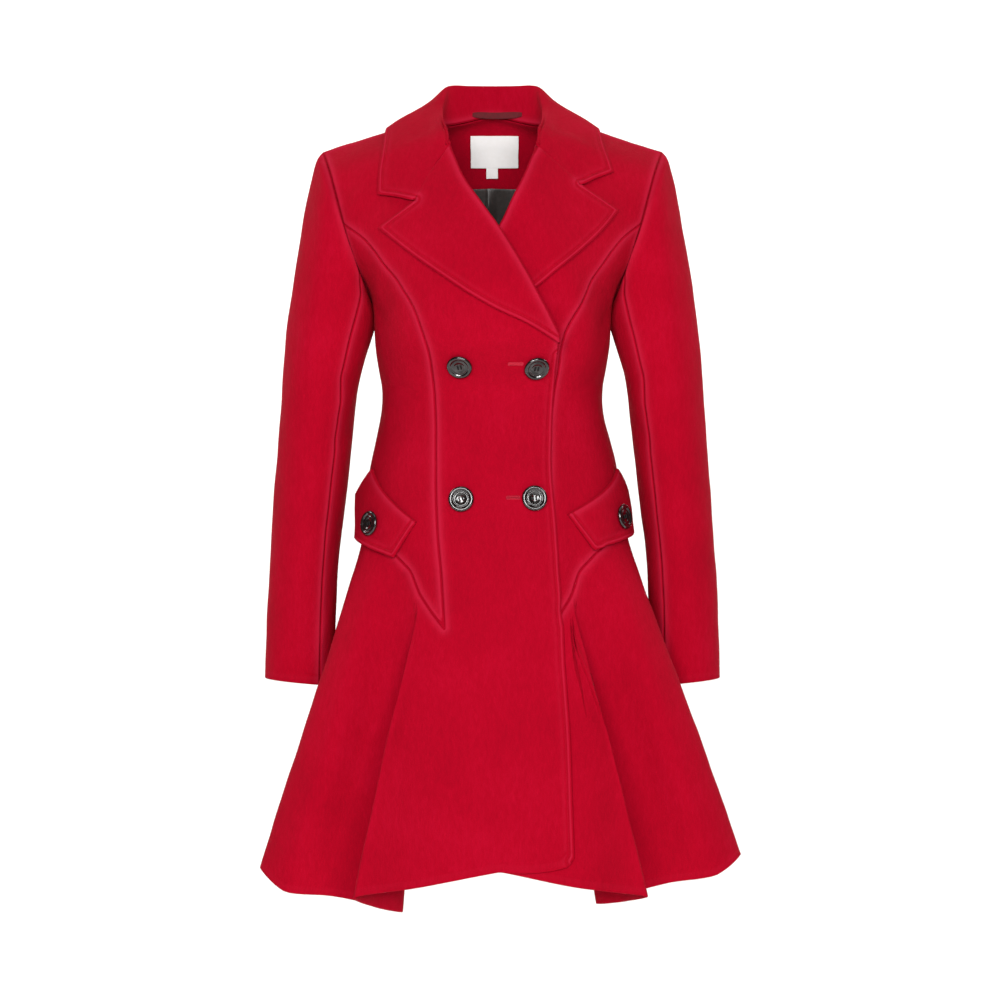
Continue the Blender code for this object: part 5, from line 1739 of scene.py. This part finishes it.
SHARP_ANGLE = math.radians(42)
FRONT_BUTTONS = (  # name, x, z, and how far it's turned in degrees
    ("button_upper_right", -36.1, -275.8, 8), ("button_upper_left", 48.9, -277.3, -5),
    ("button_lower_right", -34.3, -423.6, 20), ("button_lower_left", 46.6, -422.6, 3),
)
FLAP_BUTTON_PLACE = (0.6, 0.55)
FLAP_BUTTON_SEAT = 0.8
FLAP_BUTTON_STEP = 0.12
FLAP_BUTTON_SPIN = 12


def button_blank():
    """The turned button with its four holes, as a mesh to copy."""
    turns = circle(BUTTON_SIDES)
    points = []
    for r, h in BUTTON_PROFILE[1:-1]:
        points += [(r * math.cos(t), r * math.sin(t), h) for t in turns]
    rings = len(BUTTON_PROFILE) - 2
    faces = [[b, a, d, c] for a, b, c, d in ring_faces(rings, BUTTON_SIDES)]
    for ring, (_, height) in ((0, BUTTON_PROFILE[0]), (rings - 1, BUTTON_PROFILE[-1])):
        points.append((0, 0, height))
        for i in range(BUTTON_SIDES):
            j = (i + 1) % BUTTON_SIDES
            fan = [len(points) - 1, ring * BUTTON_SIDES + i, ring * BUTTON_SIDES + j]
            faces.append(fan[::-1] if ring else fan)
    blank = new_object("button_blank", points, faces, HORN)
    pins = []
    for k in range(4):
        turn = math.radians(45 + 90 * k)
        x, y = HOLE_PLACE * math.cos(turn), HOLE_PLACE * math.sin(turn)
        pin_points = [
            (x + HOLE_RADIUS * math.cos(t), y + HOLE_RADIUS * math.sin(t), z)
            for z in PIN_HEIGHTS for t in turns[::4]
        ]
        count = len(pin_points) // 2
        pin_faces = [list(range(count))[::-1], list(range(count, 2 * count))]
        pin_faces += ring_faces(2, count)
        pin = new_object(f"button_pin_{k}", pin_points, pin_faces, HORN)
        cut = blank.modifiers.new(pin.name, "BOOLEAN")
        cut.operation, cut.solver, cut.object = "DIFFERENCE", "EXACT", pin
        pins.append(pin)
    bpy.context.view_layer.update()
    graph = bpy.context.evaluated_depsgraph_get()
    mesh = bpy.data.meshes.new_from_object(blank.evaluated_get(graph))
    for obj in [blank, *pins]:
        bpy.data.objects.remove(obj, do_unlink=True)
    mesh.materials.clear()
    mesh.materials.append(HORN)
    return mesh


TUBE_SIDEWAYS = (0.3, 0.2, 0.93)  # a direction that no thread runs in


def tube(path, radius, sides=8):
    """(points, faces) of a closed tube along a path."""
    path = np.asarray(path, float)
    way = unit(np.gradient(path, axis=0))
    first = unit(np.cross(way, TUBE_SIDEWAYS))
    second = np.cross(way, first)
    turns = circle(sides)[:, None]
    ring = first[:, None] * np.cos(turns) + second[:, None] * np.sin(turns)
    points = (path[:, None] + ring * radius).reshape(-1, 3)
    faces = ring_faces(len(path), sides)
    faces.append(list(range(sides))[::-1])
    faces.append([(len(path) - 1) * sides + i for i in range(sides)])
    return points, faces


def button_thread():
    """Strands of thread through the holes, and the shank under the button."""
    parts = []
    place = HOLE_PLACE * math.sqrt(0.5)
    for side in (-1, 1):
        for strand in STRANDS:
            x = side * place + strand
            height = STRAND_TOP - abs(strand) * 0.5
            path = [
                (x, -place, 0.4), (x, -place - 0.1, 2.2), (x, -place + 0.5, height - 0.1),
                (x, 0, height + 0.15), (x, place - 0.5, height - 0.1), (x, place + 0.1, 2.2),
                (x, place, 0.4),
            ]
            parts.append(tube(finer(np.array(path), 3), STRAND_RADIUS))
    for k in range(4):
        turn = math.radians(45 + 90 * k)
        x, y = SHANK_PLACE * math.cos(turn), SHANK_PLACE * math.sin(turn)
        parts.append(tube([(x, y, 0.3), (x, y, -0.2), (x, y, -1.4)], SHANK_RADIUS))
    return joined(parts)


def place_points(points, origin, normal, spin):
    """Points of a button turned to its place on the cloth."""
    turn = np.array(Vector(normal).to_track_quat("Z", "Y").to_matrix())
    c, s = math.cos(math.radians(spin)), math.sin(math.radians(spin))
    spun = np.asarray(points) @ np.array([[c, -s, 0], [s, c, 0], [0, 0, 1]]).T
    return spun @ turn.T + origin


def add_button(name, blank, thread, point, normal, spin):
    """A button at this point of the cloth, with its thread."""
    origin = point + normal * BUTTON_GAP
    mesh = blank.copy()
    mesh.name = name
    own = np.zeros(len(mesh.vertices) * 3)
    mesh.vertices.foreach_get("co", own)
    own = place_points(own.reshape(-1, 3) / MM, origin, normal, spin) * MM
    mesh.vertices.foreach_set("co", own.reshape(-1))
    mesh.shade_smooth()
    mesh.update()
    obj = into_scene(name, mesh)
    mesh.set_sharp_from_angle(angle=SHARP_ANGLE)
    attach(obj, "root")
    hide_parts(name)
    points, faces = thread
    points = place_points(points, origin, normal, spin)
    sewn = new_object(f"{name}_thread", points, faces, BLACK_THREAD)
    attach(sewn, "root")


BUTTONHOLES = ((17.5, 34.5, -273.4), (15.5, 31.5, -421.8))  # from and to, and height
HOLE_STITCH = 0.62  # from one purl stitch to the next
HOLE_THREAD = 0.32
HOLE_END = 0.85  # from here on the stitches get shorter, towards the hole's end
HOLE_PATH = ((0.15, -0.15), (0.5, 0.45), (1.3, 0.5))


def build_buttonholes():
    """Worked buttonholes: purl stitches side by side round a slit."""
    for k, (left, right, z) in enumerate(BUTTONHOLES):
        u, level = spot((left + right) / 2, z, 0.1)
        middle, up = body(u, level), body_normal(u, level)
        along = unit(np.cross(up, (0, 0, 1.0)))
        along *= math.copysign(1, along[0])
        across = np.cross(along, up)
        middle = middle + up * float(unevenness(middle[None], BODY_CREASES)[0])
        parts = []
        half = (right - left) / 2
        for x in np.arange(-half, half + 0.01, HOLE_STITCH):
            for way in (-1, 1):
                reach = 2.1 - 0.5 * max(0.0, abs(x) / half - HOLE_END) / (1 - HOLE_END)
                path = [
                    middle + along * x + across * way * out + up * height
                    for out, height in (*HOLE_PATH, (reach, -0.1))
                ]
                parts.append(tube(path, HOLE_THREAD, 6))
        points, faces = joined(parts)
        worked = new_object(f"buttonhole_{k + 1}", points, faces, SILK_TWIST)
        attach(worked, "root")


def build_buttons():
    """All six, each turned a little its own way."""
    blank = button_blank()
    thread = button_thread()
    for name, x, z, spin in FRONT_BUTTONS:
        u, level = spot(x, z, abs(x) / HALF_FRONT)
        add_button(name, blank, thread, body(u, level), body_normal(u, level), spin)
    along, down = FLAP_BUTTON_PLACE
    step = FLAP_BUTTON_STEP
    for word, table, lift in FLAPS:
        places = np.array([along, along - step, along + step, along])
        patch = flap_patch(table, places, np.array([down, down, down, down + step]), lift)
        point, before, after, below = patch.points
        face = np.cross(after - before, below - point)
        face *= math.copysign(1, np.dot(face, patch.normals[0])) / np.linalg.norm(face)
        seat = point + face * FLAP_BUTTON_SEAT
        add_button(f"button_flap_{word}", blank, thread, seat, face, FLAP_BUTTON_SPIN)


# ---------------- floor, light and camera

FLOOR_Z = -1500.0
STAGE_WIDTH = 9000.0
STAGE_DEPTH = (-5000.0, 2600.0)
STAGE_CURVE = 900.0
STAGE_HEIGHT = 4200.0
PIXEL = 1.15  # millimetres of the coat's middle to one pixel
LENS_DISTANCE = 3300.0
CAMERA_X = 8.6
CAMERA_Z = -424.4
SENSOR = 36.0


def build_stage():
    """A pale floor that sweeps up behind."""
    profile = [(STAGE_DEPTH[0], 0.0)]
    start = STAGE_DEPTH[1] - STAGE_CURVE
    for k in range(13):
        turn = math.radians(k * 7.5)
        profile.append((start + STAGE_CURVE * math.sin(turn), STAGE_CURVE * (1 - math.cos(turn))))
    profile.append((STAGE_DEPTH[1], STAGE_HEIGHT))
    points, faces = [], []
    for y, z in profile:
        points += [(-STAGE_WIDTH / 2, y, FLOOR_Z + z), (STAGE_WIDTH / 2, y, FLOOR_Z + z)]
    for k in range(len(profile) - 1):
        faces.append([2 * k, 2 * k + 1, 2 * k + 3, 2 * k + 2])
    made, tree = new_material("studio_paper")
    grain = add(tree, "ShaderNodeTexNoise", {"Scale": 60.0, "Detail": 2.0})
    colour = add(
        tree, "ShaderNodeValToRGB", {"Fac": grain.outputs["Fac"]},
        ((0.0, "#F7F6F4"), (1.0, "#FCFBFA")),
    )
    dress(made, colour.outputs["Color"], None, {"Roughness": 0.9})
    floor = new_object("studio_floor", points, faces, made)


LIGHTS = (  # name, place, size and power in watts
    ("key_left", (-850, -3220, 450), 800, 46),
    ("fill_right", (850, -3220, 300), 800, 40),
    ("front_low", (0, -3500, -150), 500, 34),
    ("top_soft", (0, -900, 2300), 1500, 10),
    ("paper_left", (-2000, 900, 1500), 1500, 60),
    ("paper_right", (2000, 900, 1500), 1500, 60),
)
AIM = (8.6, 0.0, -430.0)
PAPER_AIM = (0.0, 2400.0, -300.0)
ROOM_LIGHT = 0.06


def build_lights():
    """Four lights on the coat, and two on the paper behind it."""
    for name, place, size, power in LIGHTS:
        light = bpy.data.lights.new(name, "AREA")
        light.shape = "SQUARE"
        light.size = size * MM
        light.energy = power
        lamp = into_scene(name, light)
        lamp.location = Vector(place) * MM
        aim = Vector(PAPER_AIM if name.startswith("paper") else AIM) * MM
        lamp.rotation_euler = (aim - lamp.location).to_track_quat("-Z", "Y").to_euler()
    world = bpy.data.worlds.new("studio")
    bpy.context.scene.world = world
    world.use_nodes = True
    backdrop = world.node_tree.nodes["Background"]
    backdrop.inputs["Color"].default_value = linear("#FFFFFF")
    backdrop.inputs["Strength"].default_value = ROOM_LIGHT


def build_camera():
    """Level with the coat's middle, at the distance that gives the photo's view."""
    camera = bpy.data.cameras.new("camera")
    camera.sensor_width = SENSOR
    camera.lens = SENSOR * LENS_DISTANCE / (1000 * PIXEL)
    camera.clip_end = 100.0
    seat = into_scene("camera", camera)
    seat.location = (CAMERA_X * MM, -LENS_DISTANCE * MM, CAMERA_Z * MM)
    seat.rotation_euler = (math.radians(90), 0, 0)
    bpy.context.scene.camera = seat
    bpy.context.scene.view_settings.view_transform = "Standard"


def main():
    build_camera()
    build_lights()
    build_stage()
    build_body()
    build_sleeves()
    build_lapels()
    build_collar()
    build_facing()
    build_lining()
    on_facing("label", LABEL, 58, 35)
    on_facing("size_tab", SIZE_TAB, 14, 12)
    build_loop()
    build_flaps()
    build_buttons()
    build_buttonholes()


main()
